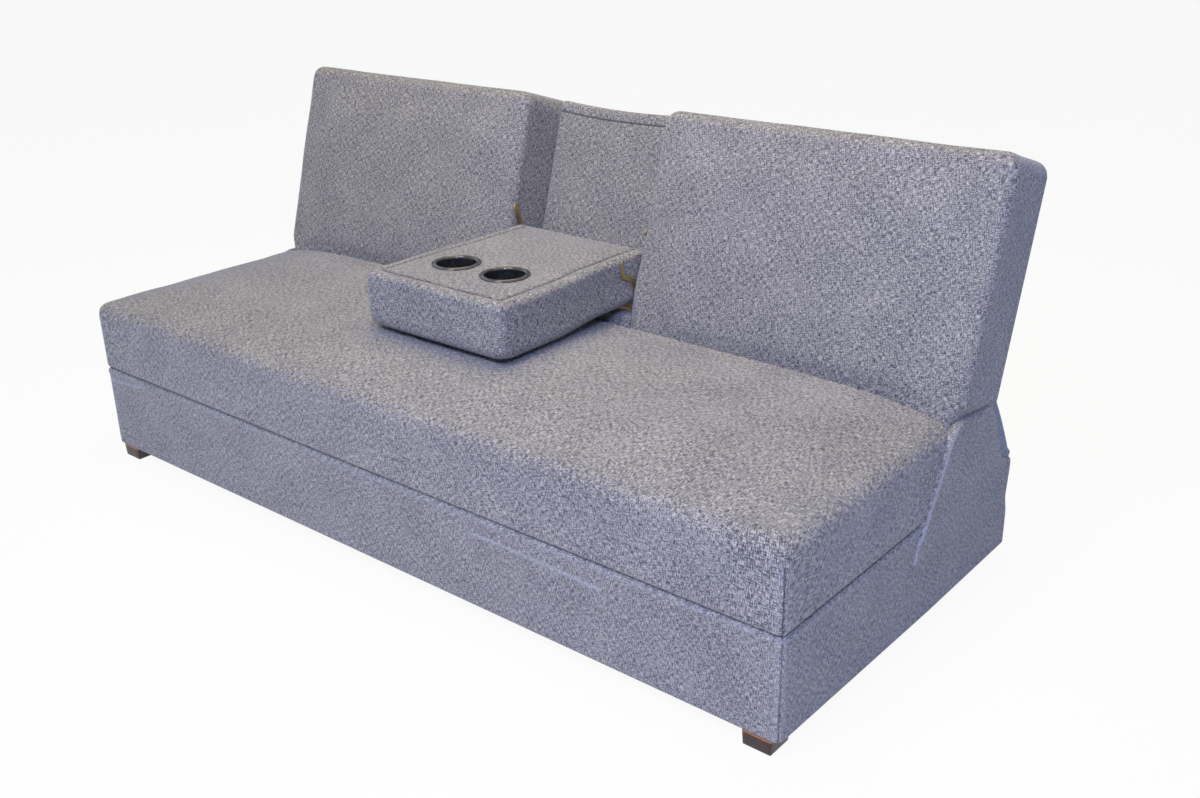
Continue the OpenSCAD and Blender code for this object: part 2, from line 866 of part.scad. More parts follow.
// Ring of the seat: rounded at the front, and stepped in at the rear to pass between the wings
function seat_ring(half, rear_half, front_y, notch_y, rear_y, front_r, rear_r, pull) =
  let (
    step = [half, notch_y - wing_notch_run],
    inner = [rear_half, notch_y],
    front_arc = fillet([0, front_y], [half, front_y], step, front_r, corner_steps),
    rear_arc = fillet(inner, [rear_half, rear_y], [0, rear_y], rear_r, corner_steps),
    right = concat(
      front_arc, between(front_arc[corner_steps], step, 5, pull), [step, inner],
      between(inner, rear_arc[0], 2, 0), rear_arc),
    last = len(right) - 1
  )
  concat(
    between([-right[0].x, front_y], right[0], 12, pull),
    right,
    between(right[last], [-right[last].x, rear_y], 12, 0),
    [for (i = [0:last]) [-right[last - i].x, right[last - i].y]]);

// Ring of the seat cushion, inset all round and at height z
function seat_cushion_ring(inset, z, pull) =
  let (
    half = half_w - inset,
    rear_y = seat_rear_at(z) - inset * seat_rear_r / seat_edge_r,
    notch_y = min(wing_front_at(z) - wing_notch_gap, rear_y - seat_rear_r - wing_notch_run)
  )
  seat_ring(
    half, min(half, wing_inner_x - wing_notch_gap), inset, notch_y,
    rear_y, max(corner_r - inset, pocket_r), seat_rear_r, pull);

seat_top_z = seam_z + seat_side_h;
seat_mid_y = seat_d / 2;

// Height that the crown adds at a place on the seat
function seat_crown(p) =
  let (
    reach = seat_mid_y - seat_edge_r,
    t = (p.y - seat_mid_y) / (p.y > seat_mid_y ? reach * seat_rear_crown_share : reach)
  )
  seat_crown_h * crown_share(p.x / (half_w - seat_edge_r), seat_side_power)
  * crown_share(t, seat_depth_power);

module seat_cushion() {
  pocket = seat_ring(
    seat_frame_half_w + soft_gap, seat_frame_half_w + soft_gap, seat_wall_t,
    wing_front_at(seam_z) - wing_notch_gap, seat_frame_rear_y + soft_gap, pocket_r, pocket_r, 0);
  bottom_z = seam_z + seam_gap;
  turn_z = seat_top_z - seat_edge_r;
  walls = [for (share = [0, 0.5])
    let (z = bottom_z + share * (turn_z - bottom_z))
    at_height(seat_cushion_ring(0, z, seat_pull * share), z)];
  edge = [for (i = [0:edge_steps])
    let (
      angle = 90 * i / edge_steps,
      z = turn_z + seat_edge_r * sin(angle),
      ring = seat_cushion_ring(seat_edge_r * (1 - cos(angle)), z, seat_pull)
    )
    [for (p = ring) [p.x, p.y, z + seat_crown(p) * pow(sin(angle), 2)]]];
  centre = [0, seat_mid_y];
  rim = [for (p = edge[edge_steps]) [p.x, p.y]];
  crown = [for (share = seat_crown_shares)
    [for (p = shrunk(rim, centre, share)) [p.x, p.y, seat_top_z + seat_crown(p)]]];
  color(fabric_shares) in_place() ring_solid(
    concat([at_height(pocket, pocket_top_z), at_height(pocket, bottom_z)], walls, edge, crown),
    [0, seat_mid_y, pocket_top_z],
    [0, seat_mid_y, seat_top_z + seat_crown_h]);
}

// Rear flap, a sheet from the base's rear board up to the back

flap_top_y = back_foot_y + flap_top_up * face_dir.x + (back_t + flap_gap) * depth_dir.x;
flap_top_z = back_foot_z + flap_top_up * face_dir.y + (back_t + flap_gap) * depth_dir.y;
flap_low_y = rear_inner_y - flap_t / 2;
flap_low_z = seam_z + rear_rise;
flap_dir = unit([flap_top_y - flap_low_y, flap_top_z - flap_low_z]);
flap_out = [flap_dir.y, -flap_dir.x];
flap_half_w = wing_inner_x - flap_t;

function flap_point(t, out) =
  [flap_low_y, flap_low_z] + t * [flap_top_y - flap_low_y, flap_top_z - flap_low_z]
  + (flap_bow * sin(180 * t) + out) * flap_out;

module rear_flap() {
  foot_z = flap_low_z - flap_foot_h;
  color(fabric_dark_shares) in_place() plate_x(-flap_half_w, flap_half_w, concat(
    [[rear_inner_y, foot_z]],
    [for (i = [0:flap_steps]) flap_point(i / flap_steps, flap_t / 2)],
    [for (i = [flap_steps:-1:0]) flap_point(i / flap_steps, -flap_t / 2)],
    [[rear_inner_y - flap_t, foot_z]]));
}

// Back frame

module back_rail(low) {
  color(wood_shares) on_back()
    block([board_t - frame_end_x, frame_rear - rail_t, low],
          [frame_end_x - board_t, frame_rear, low + rail_h]);
}

module back_top_rail() {
  back_rail(frame_top - rail_h);
}

module back_bottom_rail() {
  back_rail(frame_bottom);
}

arm_bolt_places = [
  [arm_rear - arm_bolt_edge, arm_top - arm_bolt_edge],
  [arm_rear - arm_bolt_edge, arm_bottom + arm_bolt_edge],
  [arm_rear - arm_bolt_edge - arm_bolt_pitch, arm_bottom + arm_bolt_edge]
];

module arm_bolt_shapes(clear) {
  for (p = arm_bolt_places)
    rod_x(frame_end_x - arm_bolt_l, frame_end_x + arm_plate_t + over, p.x, p.y, arm_bolt_r + clear);
}

module back_end_board() {
  color(wood_shares) on_back() difference() {
    block([frame_end_x - board_t, end_board_front, frame_bottom], [frame_end_x, frame_rear, frame_top]);
    arm_bolt_shapes(bolt_clear);
  }
}

module back_end_board_right() {
  back_end_board();
}

module back_end_board_left() {
  left() back_end_board();
}

module back_inner_board() {
  color(wood_shares) on_back() difference() {
    block([frame_inner_x, inner_board_front, frame_bottom],
          [frame_inner_x + board_t, frame_rear - rail_t, frame_top]);
    rod_x(frame_inner_x - over, frame_inner_x + board_t + over, back_bolt_in, back_bolt_up,
          bolt_r + bolt_clear);
  }
}

module back_inner_board_right() {
  back_inner_board();
}

module back_inner_board_left() {
  left() back_inner_board();
}

module back_webbing() {
  pitch = (frame_top - frame_bottom) / (webbing_count + 1);
  color(plastic_shares) on_back() both_sides() for (i = [1:webbing_count])
    block([frame_inner_x + board_t, end_board_front - webbing_t, frame_bottom + i * pitch - webbing_w / 2],
          [frame_end_x, end_board_front, frame_bottom + i * pitch + webbing_w / 2]);
}

// Back cushions

// Height that the crown adds at a place on a back cushion's face
function back_crown(p) =
  let (
    mid_x = (recess_half_w + back_half_w) / 2,
    mid_up = back_face_h / 2
  )
  back_crown_h * crown_share((p.x - mid_x) / (back_half_w - mid_x - back_edge_r), back_crown_power)
  * crown_share((p.y - mid_up) / (mid_up - back_crown_inset), back_crown_power);

// Outline of a back cushion, inset all round
function back_outline(inset, pull) = soft_ring(
  recess_half_w + inset, back_half_w - inset, inset - back_tail_h, back_face_h - inset,
  max(back_corner_r - inset, pocket_r), 8, 6, pull);

// Cushion of the back, standing up from its rear opening to its face
module back_cushion_form() {
  gap = 2 * soft_gap;
  pocket = soft_ring(
    frame_inner_x - gap, frame_end_x + gap, frame_bottom - gap, frame_top + gap, pocket_r, 8, 6, 0);
  pocket_h = cushion_t - pocket_front;
  face_h = cushion_t - back_edge_r;
  rim = back_outline(back_edge_r, 0);
  centre = [(recess_half_w + back_half_w) / 2, (back_face_h - back_tail_h) / 2];
  edge = [for (i = [0:edge_steps])
    let (angle = 90 * i / edge_steps)
    at_height(back_outline(back_edge_r * (1 - cos(angle)), side_pull * cos(angle)),
              face_h + back_edge_r * sin(angle))];
  crown = [for (share = back_crown_shares)
    [for (p = shrunk(rim, centre, share)) [p.x, p.y, cushion_t + back_crown(p)]]];
  ring_solid(
    concat(
      [at_height(pocket, pocket_h), at_height(pocket, 0)],
      [at_height(back_outline(soft_gap, 0), 0), at_height(back_outline(0, side_pull), face_h / 2)],
      edge, crown),
    [centre.x, centre.y, pocket_h],
    [centre.x, centre.y, cushion_t + back_crown(centre)]);
}

// Turns a form that stands on the XY plane so that it faces forward from depth rear
module facing_front(rear) {
  translate([0, rear, 0]) rotate([90, 0, 0]) children();
}

// Room for the boards, the rails, the recline arm and the strap bolt is cut from the cushion
module back_cushion() {
  nut_x = frame_inner_x + board_t;
  color(fabric_shares) on_back() difference() {
    facing_front(cushion_t) back_cushion_form();
    block([frame_inner_x - soft_gap, inner_board_front - soft_gap, frame_bottom - soft_gap],
          [nut_x + soft_gap, back_t, frame_top + soft_gap]);
    block([frame_end_x - board_t, pocket_front, frame_bottom - soft_gap],
          [frame_end_x + soft_gap, back_t, frame_top + soft_gap]);
    for (low = [frame_bottom, frame_top - rail_h])
      block([recess_half_w - over, frame_rear - rail_t - soft_gap, low - soft_gap],
            [nut_x, back_t, low + rail_h + soft_gap]);
    block([frame_end_x, notch_in, -back_tail_h - over], [back_half_w + over, back_t, notch_up]);
    rod_x(recess_half_w - over, frame_inner_x + over, back_bolt_in, back_bolt_up, bolt_r + hole_clear);
    rod_x(nut_x, nut_x + nut_t + hole_clear, back_bolt_in, back_bolt_up, nut_r + hole_clear);
  }
}

module back_cushion_right() {
  back_cushion();
}

module back_cushion_left() {
  left() back_cushion();
}

// Padded panel at the back of the recess, wrapped over the top rail
module centre_panel() {
  half = recess_half_w - soft_gap;
  rear = cushion_t;
  thick = rear - recess_d;
  turn = thick - panel_edge_r;
  outline = function(inset) soft_ring(
    inset - half, half - inset, frame_bottom + inset, back_face_h - inset, panel_edge_r + pocket_r, 6, 6, 0);
  edge = [for (i = [0:edge_steps])
    let (angle = 90 * i / edge_steps)
    at_height(outline(panel_edge_r * (1 - cos(angle))), turn + panel_edge_r * sin(angle))];
  mid_up = (frame_bottom + back_face_h) / 2;
  color(fabric_shares) on_back() difference() {
    facing_front(rear) ring_solid(
      concat([at_height(outline(0), 0)], edge), [0, mid_up, 0], [0, mid_up, thick]);
    block([-half - over, frame_rear - rail_t - soft_gap, frame_bottom - over],
          [half + over, back_t, frame_top + soft_gap]);
  }
}

// Bolster that fills the foot of the recess, under the console
module centre_bolster() {
  half = recess_half_w - soft_gap;
  rear = recess_d - soft_gap;
  turn = rear - bolster_edge_r;
  outline = function(inset) soft_ring(
    inset - half, half - inset, inset - back_tail_h, bolster_h - inset, bolster_edge_r, 6, 4, 0);
  edge = [for (i = [0:edge_steps])
    let (angle = 90 * i / edge_steps)
    at_height(outline(bolster_edge_r * (1 - cos(angle))), turn + bolster_edge_r * sin(angle))];
  mid_up = (bolster_h - back_tail_h) / 2;
  color(fabric_shares) on_back() facing_front(rear) ring_solid(
    concat([at_height(outline(0), 0)], edge), [0, mid_up, 0], [0, mid_up, rear]);
}

module back_rear_cover() {
  outline = rounded([
    [cover_inset - back_half_w, frame_bottom], [back_half_w - cover_inset, frame_bottom],
    [back_half_w - cover_inset, back_face_h - cover_inset],
    [cover_inset - back_half_w, back_face_h - cover_inset]
  ], [cover_r, cover_r, cover_r, cover_r]);
  color(fabric_shares) on_back() facing_front(back_t) linear_extrude(rear_cover_t) difference() {
    polygon(outline);
    for (end = [-1, 1]) polygon(rectangle(
      end * frame_end_x, end * (back_half_w + over), frame_bottom - over, notch_up));
  }
}

// Recline mechanism on the back

module recline_arm() {
  color(steel_shares) on_back() difference() {
    union() {
      plate_x(frame_end_x, frame_end_x + arm_plate_t, rounded(
        rectangle(arm_front, arm_rear, arm_bottom, arm_top),
        [plate_corner_r, plate_corner_r, plate_corner_r, plate_corner_r]));
      rod_x(frame_end_x + arm_plate_t, hub_end_x, pivot_in, pivot_up, hub_r);
    }
    rod_x(frame_end_x - over, hub_end_x + over, pivot_in, pivot_up, recline_pin_r + pin_clear);
    arm_bolt_shapes(bolt_clear);
  }
}

module recline_arm_right() {
  recline_arm();
}

module recline_arm_left() {
  left() recline_arm();
}

// Toothed wheel beside the hub; each tooth rises slowly and falls steeply
module ratchet_wheel() {
  step = 360 / ratchet_teeth;
  teeth = [for (i = [0:ratchet_teeth - 1])
    each [
      ratchet_r * [cos(step * i), sin(step * i)],
      (ratchet_r - tooth_h) * [cos(step * (i + tooth_fall_share)), sin(step * (i + tooth_fall_share))]
    ]];
  color(steel_shares) on_back() difference() {
    translate([hub_end_x, pivot_in, pivot_up]) rotate([90, 0, 90]) linear_extrude(wheel_t) polygon(teeth);
    rod_x(hub_end_x - over, hub_end_x + wheel_t + over, pivot_in, pivot_up, recline_pin_r + pin_clear);
  }
}

module ratchet_wheel_right() {
  ratchet_wheel();
}

module ratchet_wheel_left() {
  left() ratchet_wheel();
}

module arm_bolts() {
  face = frame_end_x + arm_plate_t;
  color(steel_shares) on_back() both_sides() for (p = arm_bolt_places) {
    rod_x(frame_end_x - arm_bolt_l, face, p.x, p.y, arm_bolt_r);
    rod_x(face, face + arm_head_t, p.x, p.y, arm_head_r);
  }
}

// Brass straps

fold_in = (fold_y - back_foot_y) * depth_dir.x + (fold_z - back_foot_z) * depth_dir.y;
fold_up = (fold_y - back_foot_y) * face_dir.x + (fold_z - back_foot_z) * face_dir.y;

// Flat strap through places, with round ends
module strap(x, places, w) {
  last = len(places) - 1;
  for (i = [0:last - 1]) {
    side = unit(places[i + 1] - places[i]) * w / 2;
    out = [side.y, -side.x];
    plate_x(x, x + strap_t, [
      places[i] + out, places[i + 1] + out, places[i + 1] - out, places[i] - out]);
  }
  for (p = places) rod_x(x, x + strap_t, p.x, p.y, w / 2);
}

module back_strap() {
  color(brass_shares) on_back() difference() {
    union() {
      strap(back_strap_x, [[back_bolt_in, back_bolt_up], [back_bend_in, back_bend_up], [fold_in, fold_up]],
            strap_w);
      rod_x(back_strap_x, back_strap_x + strap_t, back_bolt_in, back_bolt_up, strap_head_r);
      rod_x(back_strap_x, back_strap_x + strap_t, fold_in, fold_up, strap_head_r);
    }
    rod_x(back_strap_x - over, recess_half_w, back_bolt_in, back_bolt_up, bolt_r + bolt_clear);
    rod_x(back_strap_x - over, recess_half_w, fold_in, fold_up, fold_pin_r + pin_clear);
  }
}

module back_strap_right() {
  back_strap();
}

module back_strap_left() {
  left() back_strap();
}

module strap_bolts() {
  nut_x = frame_inner_x + board_t;
  color(brass_shares) on_back() both_sides() {
    rod_x(back_strap_x - strap_head_t, back_strap_x, back_bolt_in, back_bolt_up, strap_head_r);
    rod_x(back_strap_x, nut_x + nut_t, back_bolt_in, back_bolt_up, bolt_r);
    translate([nut_x, back_bolt_in, back_bolt_up]) rotate([0, 90, 0]) cylinder(h = nut_t, r = nut_r, $fn = 6);
  }
}

module console_strap() {
  x = console_strap_x;
  color(brass_shares) in_place() difference() {
    union() {
      strap(x, [[rivet_y, rivet_z], [strap_bend_y, strap_bend_z], [fold_y, fold_z]], strap_w);
      strap(x, [[rivet_y, rivet_z], [rivet_y, limb_top_z]], limb_w);
      rod_x(x, x + strap_t, fold_y, fold_z, strap_head_r);
    }
    rod_x(x - over, x + strap_t + over, fold_y, fold_z, fold_pin_r + pin_clear);
    rod_x(x - over, x + strap_t + over, rivet_y, rivet_z, rivet_r + bolt_clear);
  }
}

module console_strap_right() {
  console_strap();
}

module console_strap_left() {
  left() console_strap();
}

// Console

cheek_x = console_board_half_w - cheek_t;
cheek_z = console_z + console_board_t;
cheek_rear_y = console_rear_y - cheek_rear_gap;

module console_pin_holes(clear) {
  for (p = [[fold_y, fold_z, fold_pin_r], [rivet_y, rivet_z, rivet_r]])
    rod_x(cheek_x - over, console_strap_x + over, p.x, p.y, p.z + clear);
}

module console_board() {
  color(wood_shares) in_place()
    block([-console_board_half_w, console_front_y + console_board_inset, console_z],
          [console_board_half_w, console_rear_y - console_board_inset, cheek_z]);
}

module console_cheek_blocks(gap) {
  both_sides() block(
    [cheek_x - gap, cheek_rear_y - cheek_l - gap, cheek_z],
    [console_board_half_w + gap, cheek_rear_y + gap, cheek_z + cheek_h + gap]);
}

module console_cheeks() {
  color(wood_shares) in_place() difference() {
    console_cheek_blocks(0);
    both_sides() console_pin_holes(bolt_clear);
  }
}

// Outline of the console's padding, inset all round
function console_outline(inset, pull) = soft_ring(
  inset - console_half_w, console_half_w - inset, console_front_y + inset, console_rear_y - inset,
  max(console_corner_r - inset, pocket_r), 8, 8, pull);

// Height that the crown adds at a place on the console's top
function console_crown(p) =
  let (middle = console_rear_y - console_l / 2)
  console_crown_h * crown_share(p.x / (console_half_w - console_top_r), console_crown_power)
  * crown_share((p.y - middle) / (console_l / 2 - console_top_r), console_crown_power);

module console_pad_form() {
  centre = [0, console_rear_y - console_l / 2];
  rim = console_outline(console_top_r, 0);
  lower = [for (i = [0:edge_steps])
    let (angle = 90 * i / edge_steps)
    at_height(console_outline(console_edge_r * (1 - sin(angle)), console_pull * sin(angle)),
              console_z + console_edge_r * (1 - cos(angle)))];
  upper = [for (i = [0:3])
    let (angle = 30 * i)
    at_height(console_outline(console_top_r * (1 - cos(angle)), console_pull * cos(angle)),
              console_top_z - console_top_r * (1 - sin(angle)))];
  crown = [for (share = console_crown_shares)
    [for (p = shrunk(rim, centre, share)) [p.x, p.y, console_top_z + console_crown(p)]]];
  ring_solid(
    concat(lower, upper, crown),
    [centre.x, centre.y, console_z],
    [centre.x, centre.y, console_top_z + console_crown_h]);
}

// Padding of the console, open below for its board and above for the cup holders
module console_pad() {
  color(fabric_shares) in_place() difference() {
    console_pad_form();
    block([-console_board_half_w - soft_gap, console_front_y + console_board_inset - soft_gap,
           console_z - over],
          [console_board_half_w + soft_gap, console_rear_y - console_board_inset + soft_gap,
           cheek_z + soft_gap]);
    console_cheek_blocks(soft_gap);
    both_sides() console_pin_holes(hole_clear);
    for (end = [-1, 1])
      translate([end * cup_pitch / 2, cup_y, cup_seat_z - cup_depth - cup_wall])
        cylinder(h = cup_depth + cup_wall + over, r = cup_r + cup_wall + cup_clear);
  }
}

module console_pins() {
  face = console_strap_x + strap_t;
  color(brass_shares) in_place() both_sides() {
    rod_x(cheek_x, recess_half_w - strap_gap, fold_y, fold_z, fold_pin_r);
    rod_x(cheek_x, face, rivet_y, rivet_z, rivet_r);
    rod_x(face, face + rivet_head_t, rivet_y, rivet_z, rivet_head_r);
  }
}

// Cup holder, turned from its section: a straight wall, a rounded floor and a rolled flange
module cup_holder() {
  floor_z = cup_flange_t - cup_depth;
  outer_r = cup_r + cup_wall;
  section = rounded([
    [0, floor_z - cup_wall], [outer_r, floor_z - cup_wall], [outer_r, 0], [cup_flange_r, 0],
    [cup_flange_r, cup_flange_t], [cup_r, cup_flange_t], [cup_r, floor_z], [0, floor_z]
  ], [0, cup_floor_r + cup_wall, 0, cup_rim_r, cup_rim_r, cup_rim_r, cup_floor_r, 0]);
  color(plastic_shares) in_place() translate([cup_pitch / 2, cup_y, cup_seat_z])
    rotate_extrude() polygon(section);
}

module cup_holder_right() {
  cup_holder();
}

module cup_holder_left() {
  left() cup_holder();
}

base_front_board();
base_rear_board();
base_side_board_left();
base_side_board_right();
base_corner_posts();
base_cross_rails();
base_seat_beam();
base_bottom_panel();
base_cover_front();
base_cover_rear();
base_cover_left();
base_cover_right();
feet();
foot_bolts();
wing_board_left();
wing_board_right();
wing_pad_left();
wing_pad_right();
wing_screws();
recline_bracket_left();
recline_bracket_right();
recline_pins();
ratchet_pawls();
pawl_pins();
seat_front_rail();
seat_rear_rail();
seat_cross_rails();
seat_slats();
slat_caps();
seat_bolts();
seat_cushion();
rear_flap();
back_top_rail();
back_bottom_rail();
back_end_board_left();
back_end_board_right();
back_inner_board_left();
back_inner_board_right();
back_webbing();
back_cushion_left();
back_cushion_right();
centre_panel();
centre_bolster();
back_rear_cover();
recline_arm_left();
recline_arm_right();
ratchet_wheel_left();
ratchet_wheel_right();
arm_bolts();
back_strap_left();
back_strap_right();
strap_bolts();
console_board();
console_cheeks();
console_pad();
cup_holder_left();
cup_holder_right();
console_strap_left();
console_strap_right();
console_pins();
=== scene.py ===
"""Looks of a reclining sofa on a box base, with a console that folds down between its two back cushions.

Sizes are millimetres, depths are counted from the front face of the base, and finished meshes are metres.
"""

import json
import logging
import math
from dataclasses import dataclass
from enum import Enum
from typing import Sequence

import bmesh
import bpy
import numpy as np
from mathutils import Matrix, Vector, kdtree, noise


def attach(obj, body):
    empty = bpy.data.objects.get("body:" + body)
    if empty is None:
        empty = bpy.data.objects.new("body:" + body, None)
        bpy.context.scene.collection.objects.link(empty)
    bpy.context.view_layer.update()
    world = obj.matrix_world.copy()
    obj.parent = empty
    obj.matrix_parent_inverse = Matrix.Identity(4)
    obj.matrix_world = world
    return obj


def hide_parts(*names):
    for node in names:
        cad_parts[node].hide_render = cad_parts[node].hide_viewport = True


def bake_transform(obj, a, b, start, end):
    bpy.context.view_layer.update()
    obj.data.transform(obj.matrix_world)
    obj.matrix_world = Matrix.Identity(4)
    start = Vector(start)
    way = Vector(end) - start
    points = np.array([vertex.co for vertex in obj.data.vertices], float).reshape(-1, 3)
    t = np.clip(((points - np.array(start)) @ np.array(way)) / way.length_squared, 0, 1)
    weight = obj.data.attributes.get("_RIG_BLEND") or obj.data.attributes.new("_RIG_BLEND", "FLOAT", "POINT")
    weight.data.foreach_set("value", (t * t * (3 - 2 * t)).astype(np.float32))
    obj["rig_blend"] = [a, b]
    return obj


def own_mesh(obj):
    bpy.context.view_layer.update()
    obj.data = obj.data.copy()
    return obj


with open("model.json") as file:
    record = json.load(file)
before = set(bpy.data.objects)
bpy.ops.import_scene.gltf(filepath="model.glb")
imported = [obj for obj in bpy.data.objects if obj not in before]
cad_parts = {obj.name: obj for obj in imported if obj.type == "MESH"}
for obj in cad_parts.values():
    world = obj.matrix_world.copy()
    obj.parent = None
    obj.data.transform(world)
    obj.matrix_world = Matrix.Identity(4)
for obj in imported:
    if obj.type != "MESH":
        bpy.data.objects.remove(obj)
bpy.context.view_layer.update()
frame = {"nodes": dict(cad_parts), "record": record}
LOG = logging.getLogger("sofa")
MM = 0.001
WEAVE_MAP = "weave"
SEAM_AND_LIGHT_MARKS = "seam"
THREAD_PITCH = 0.0021
# A distance too far for any seam, and the border of a face that takes up the difference to its rim.
NEVER = 1e3
SHEAR_HALF = 60.0
# Half width of a corner seam, and how much painted highlight lightens the cloth beside it.
SEAM_HALF = 2.2
CORNER_HIGHLIGHT = 0.3
STUFFING = {"quality": 4, "mass": 0.4, "tension_stiffness": 12, "compression_stiffness": 12, "shear_stiffness": 4,
            "bending_stiffness": 0.6, "use_pressure": True, "uniform_pressure_force": 4}
STUFFING_FRAMES = 20

Piece = bpy.types.Object
Material = bpy.types.Material
Socket = bpy.types.NodeSocket
Path = Sequence[Sequence[float]]


class Side(Enum):
    """The two ends of the sofa, seen from the front."""

    LEFT = -1
    RIGHT = 1

    @property
    def word(self) -> str:
        """The side as it is written in names."""
        return self.name.lower()


class Lay(Enum):
    """How the cloth's threads are laid over a skin."""

    UNROLLED = "unrolled"
    UPRIGHT = "upright"


@dataclass(frozen=True)
class Plan:
    """Main lines of the sofa, as in the solids."""

    half_w: float = 950.0
    depth: float = 840.0
    foot_z: float = 31.0
    seam_z: float = 226.0
    rear_rise: float = 13.0
    wing_x: float = 942.0
    lean: float = 17.0
    back_y: float = 573.0
    back_z: float = 405.0
    face_h: float = 464.0
    tail_h: float = 90.0
    back_t: float = 160.0
    pad_t: float = 153.7
    recess_half_w: float = 191.0
    recess_d: float = 115.0
    back_half_w: float = 932.0
    pivot_y: float = 621.0
    pivot_z: float = 341.0
    middle_y: float = 429.665

    def on_back(self) -> Matrix:
        """Matrix from the back's own frame (across, up the face, out of it) to the row frame, in metres."""
        place = Matrix.Translation((0, (self.back_y - self.middle_y) * MM, self.back_z * MM))
        return place @ Matrix.Rotation(math.radians(90 - self.lean), 4, "X")

    def in_place(self) -> Matrix:
        """Matrix from depths counted from the base's front to the row frame, in metres."""
        return Matrix.Translation((0, -self.middle_y * MM, 0))


PLAN = Plan()


# Mesh tools


def deselect() -> None:
    """Leaves nothing selected, so that an operator acts on its own piece only."""
    if bpy.context.object and bpy.context.object.mode != "OBJECT":
        bpy.ops.object.mode_set(mode="OBJECT")
    bpy.ops.object.select_all(action="DESELECT")


def take(piece: Piece) -> None:
    """Selects one piece alone and makes it active.

    Args:
        piece: the object.
    """
    deselect()
    piece.select_set(True)
    bpy.context.view_layer.objects.active = piece


def named(name: str) -> Piece:
    """Names the active object and its mesh.

    Args:
        name: the piece's name.

    Returns:
        The object.
    """
    piece = bpy.context.object
    piece.name = piece.data.name = name
    return piece


def copied(piece: Piece, name: str) -> Piece:
    """Copies a piece with its mesh.

    Args:
        piece: the object.
        name: the copy's name.

    Returns:
        The copy.
    """
    take(piece)
    bpy.ops.object.duplicate()
    return named(name)


def read(items: bpy.types.bpy_prop_collection, key: str, width: int = 1, kind: type = float) -> np.ndarray:
    """Reads one property of many mesh elements.

    Args:
        items: the elements.
        key: the property's name.
        width: how many numbers it has.
        kind: float or int.

    Returns:
        One value or row for each element.
    """
    out = np.zeros(len(items) * width, kind)
    items.foreach_get(key, out)
    return out.reshape(-1, width) if width > 1 else out


def put_points(piece: Piece, co: np.ndarray) -> None:
    """Moves a piece's vertices to the given places, in millimetres."""
    piece.data.vertices.foreach_set("co", np.asarray(co * MM, np.float32).ravel())
    piece.data.update()


def put_map(piece: Piece, uv: np.ndarray) -> None:
    """Writes a piece's weave map, in metres of cloth, one row for each face corner."""
    layer = piece.data.uv_layers.new(name=WEAVE_MAP)
    layer.data.foreach_set("uv", uv.astype(np.float32).ravel())


def put_seam(piece: Piece, values: np.ndarray) -> None:
    """Writes a piece's seam marks: dark seams and painted shade above 0, rubbed wear and painted highlights below.
    """
    marks = piece.data.attributes.new(SEAM_AND_LIGHT_MARKS, "FLOAT", "POINT")
    marks.data.foreach_set("value", values.astype(np.float32))


def modify(piece: Piece, kind: str, **settings: object) -> None:
    """Adds a modifier to a piece and applies it.

    Args:
        piece: the object.
        kind: the modifier's type.
        settings: its properties.
    """
    take(piece)
    modifier = piece.modifiers.new(kind.lower(), kind)
    for key, value in settings.items():
        setattr(modifier, key, value)
    bpy.ops.object.modifier_apply(modifier=modifier.name)


def cut_active(piece: Piece, name: str) -> None:
    """Cuts the active object out of a piece.

    Args:
        piece: the object to cut.
        name: the cutter's name.
    """
    cutter = named(name)
    bpy.ops.object.transform_apply(location=True, rotation=False, scale=True)
    modify(piece, "BOOLEAN", operation="DIFFERENCE", object=cutter, solver="EXACT")
    bpy.data.objects.remove(cutter)


def select_border(bm: bmesh.types.BMesh) -> None:
    """Selects the edges of an open border.

    Args:
        bm: the mesh in edit mode.
    """
    for edge in bm.edges:
        if edge.is_boundary:
            edge.select_set(True)


def face_out(piece: Piece) -> None:
    """Merges doubles and turns all faces outwards.

    Args:
        piece: the object.
    """
    take(piece)
    bpy.ops.object.mode_set(mode="EDIT")
    bpy.ops.mesh.select_all(action="SELECT")
    bpy.ops.mesh.remove_doubles(threshold=2e-6)
    bpy.ops.mesh.normals_make_consistent(inside=False)
    bpy.ops.object.mode_set(mode="OBJECT")


def settle(piece: Piece, place: Matrix, angle: float = 60.0) -> Piece:
    """Puts a piece's place into its mesh and smooths its faces.

    Args:
        piece: the object, still where it was modelled.
        place: matrix to the row frame.
        angle: edges sharper than this, in degrees, stay sharp.

    Returns:
        The object, at the origin.
    """
    piece.data.transform(place @ piece.matrix_basis)
    piece.matrix_basis = Matrix.Identity(4)
    take(piece)
    bpy.ops.object.shade_smooth_by_angle(angle=math.radians(angle))
    return piece


def lay_upright(piece: Piece) -> None:
    """Writes a weave map whose threads run level and upright on each side.

    Args:
        piece: the object.
    """
    mesh = piece.data
    facing = np.abs(read(mesh.polygons, "normal", 3)).argmax(axis=1)
    facing = np.repeat(facing, read(mesh.polygons, "loop_total", kind=int))[:, None]
    p = read(mesh.vertices, "co", 3)[read(mesh.loops, "vertex_index", kind=int)]
    put_map(piece, np.where(facing == 0, p[:, [1, 2]], np.where(facing == 1, p[:, [0, 2]], p[:, [0, 1]])))


def segment_distance(co: np.ndarray, path: Path) -> tuple[np.ndarray, np.ndarray]:
    """Distance from points to a line, and how far along it the nearest place is.

    Args:
        co: the points, one row each.
        path: the line's places, in the same unit.

    Returns:
        The distances, and the shares along the line from 0 to 1.
    """
    best, along = np.full(len(co), 1e9), np.zeros(len(co))
    steps = [np.array(p, float) for p in path]
    lengths = [np.linalg.norm(b - a) for a, b in zip(steps, steps[1:])]
    total, done = sum(lengths), 0.0
    for a, b, length in zip(steps, steps[1:], lengths):
        t = np.clip(((co - a) @ (b - a)) / length**2, 0, 1)
        d = np.linalg.norm(co - (a + t[:, None] * (b - a)), axis=1)
        nearer = d < best
        best[nearer] = d[nearer]
        along[nearer] = (done + t[nearer] * length) / total
        done += length
    return best, along


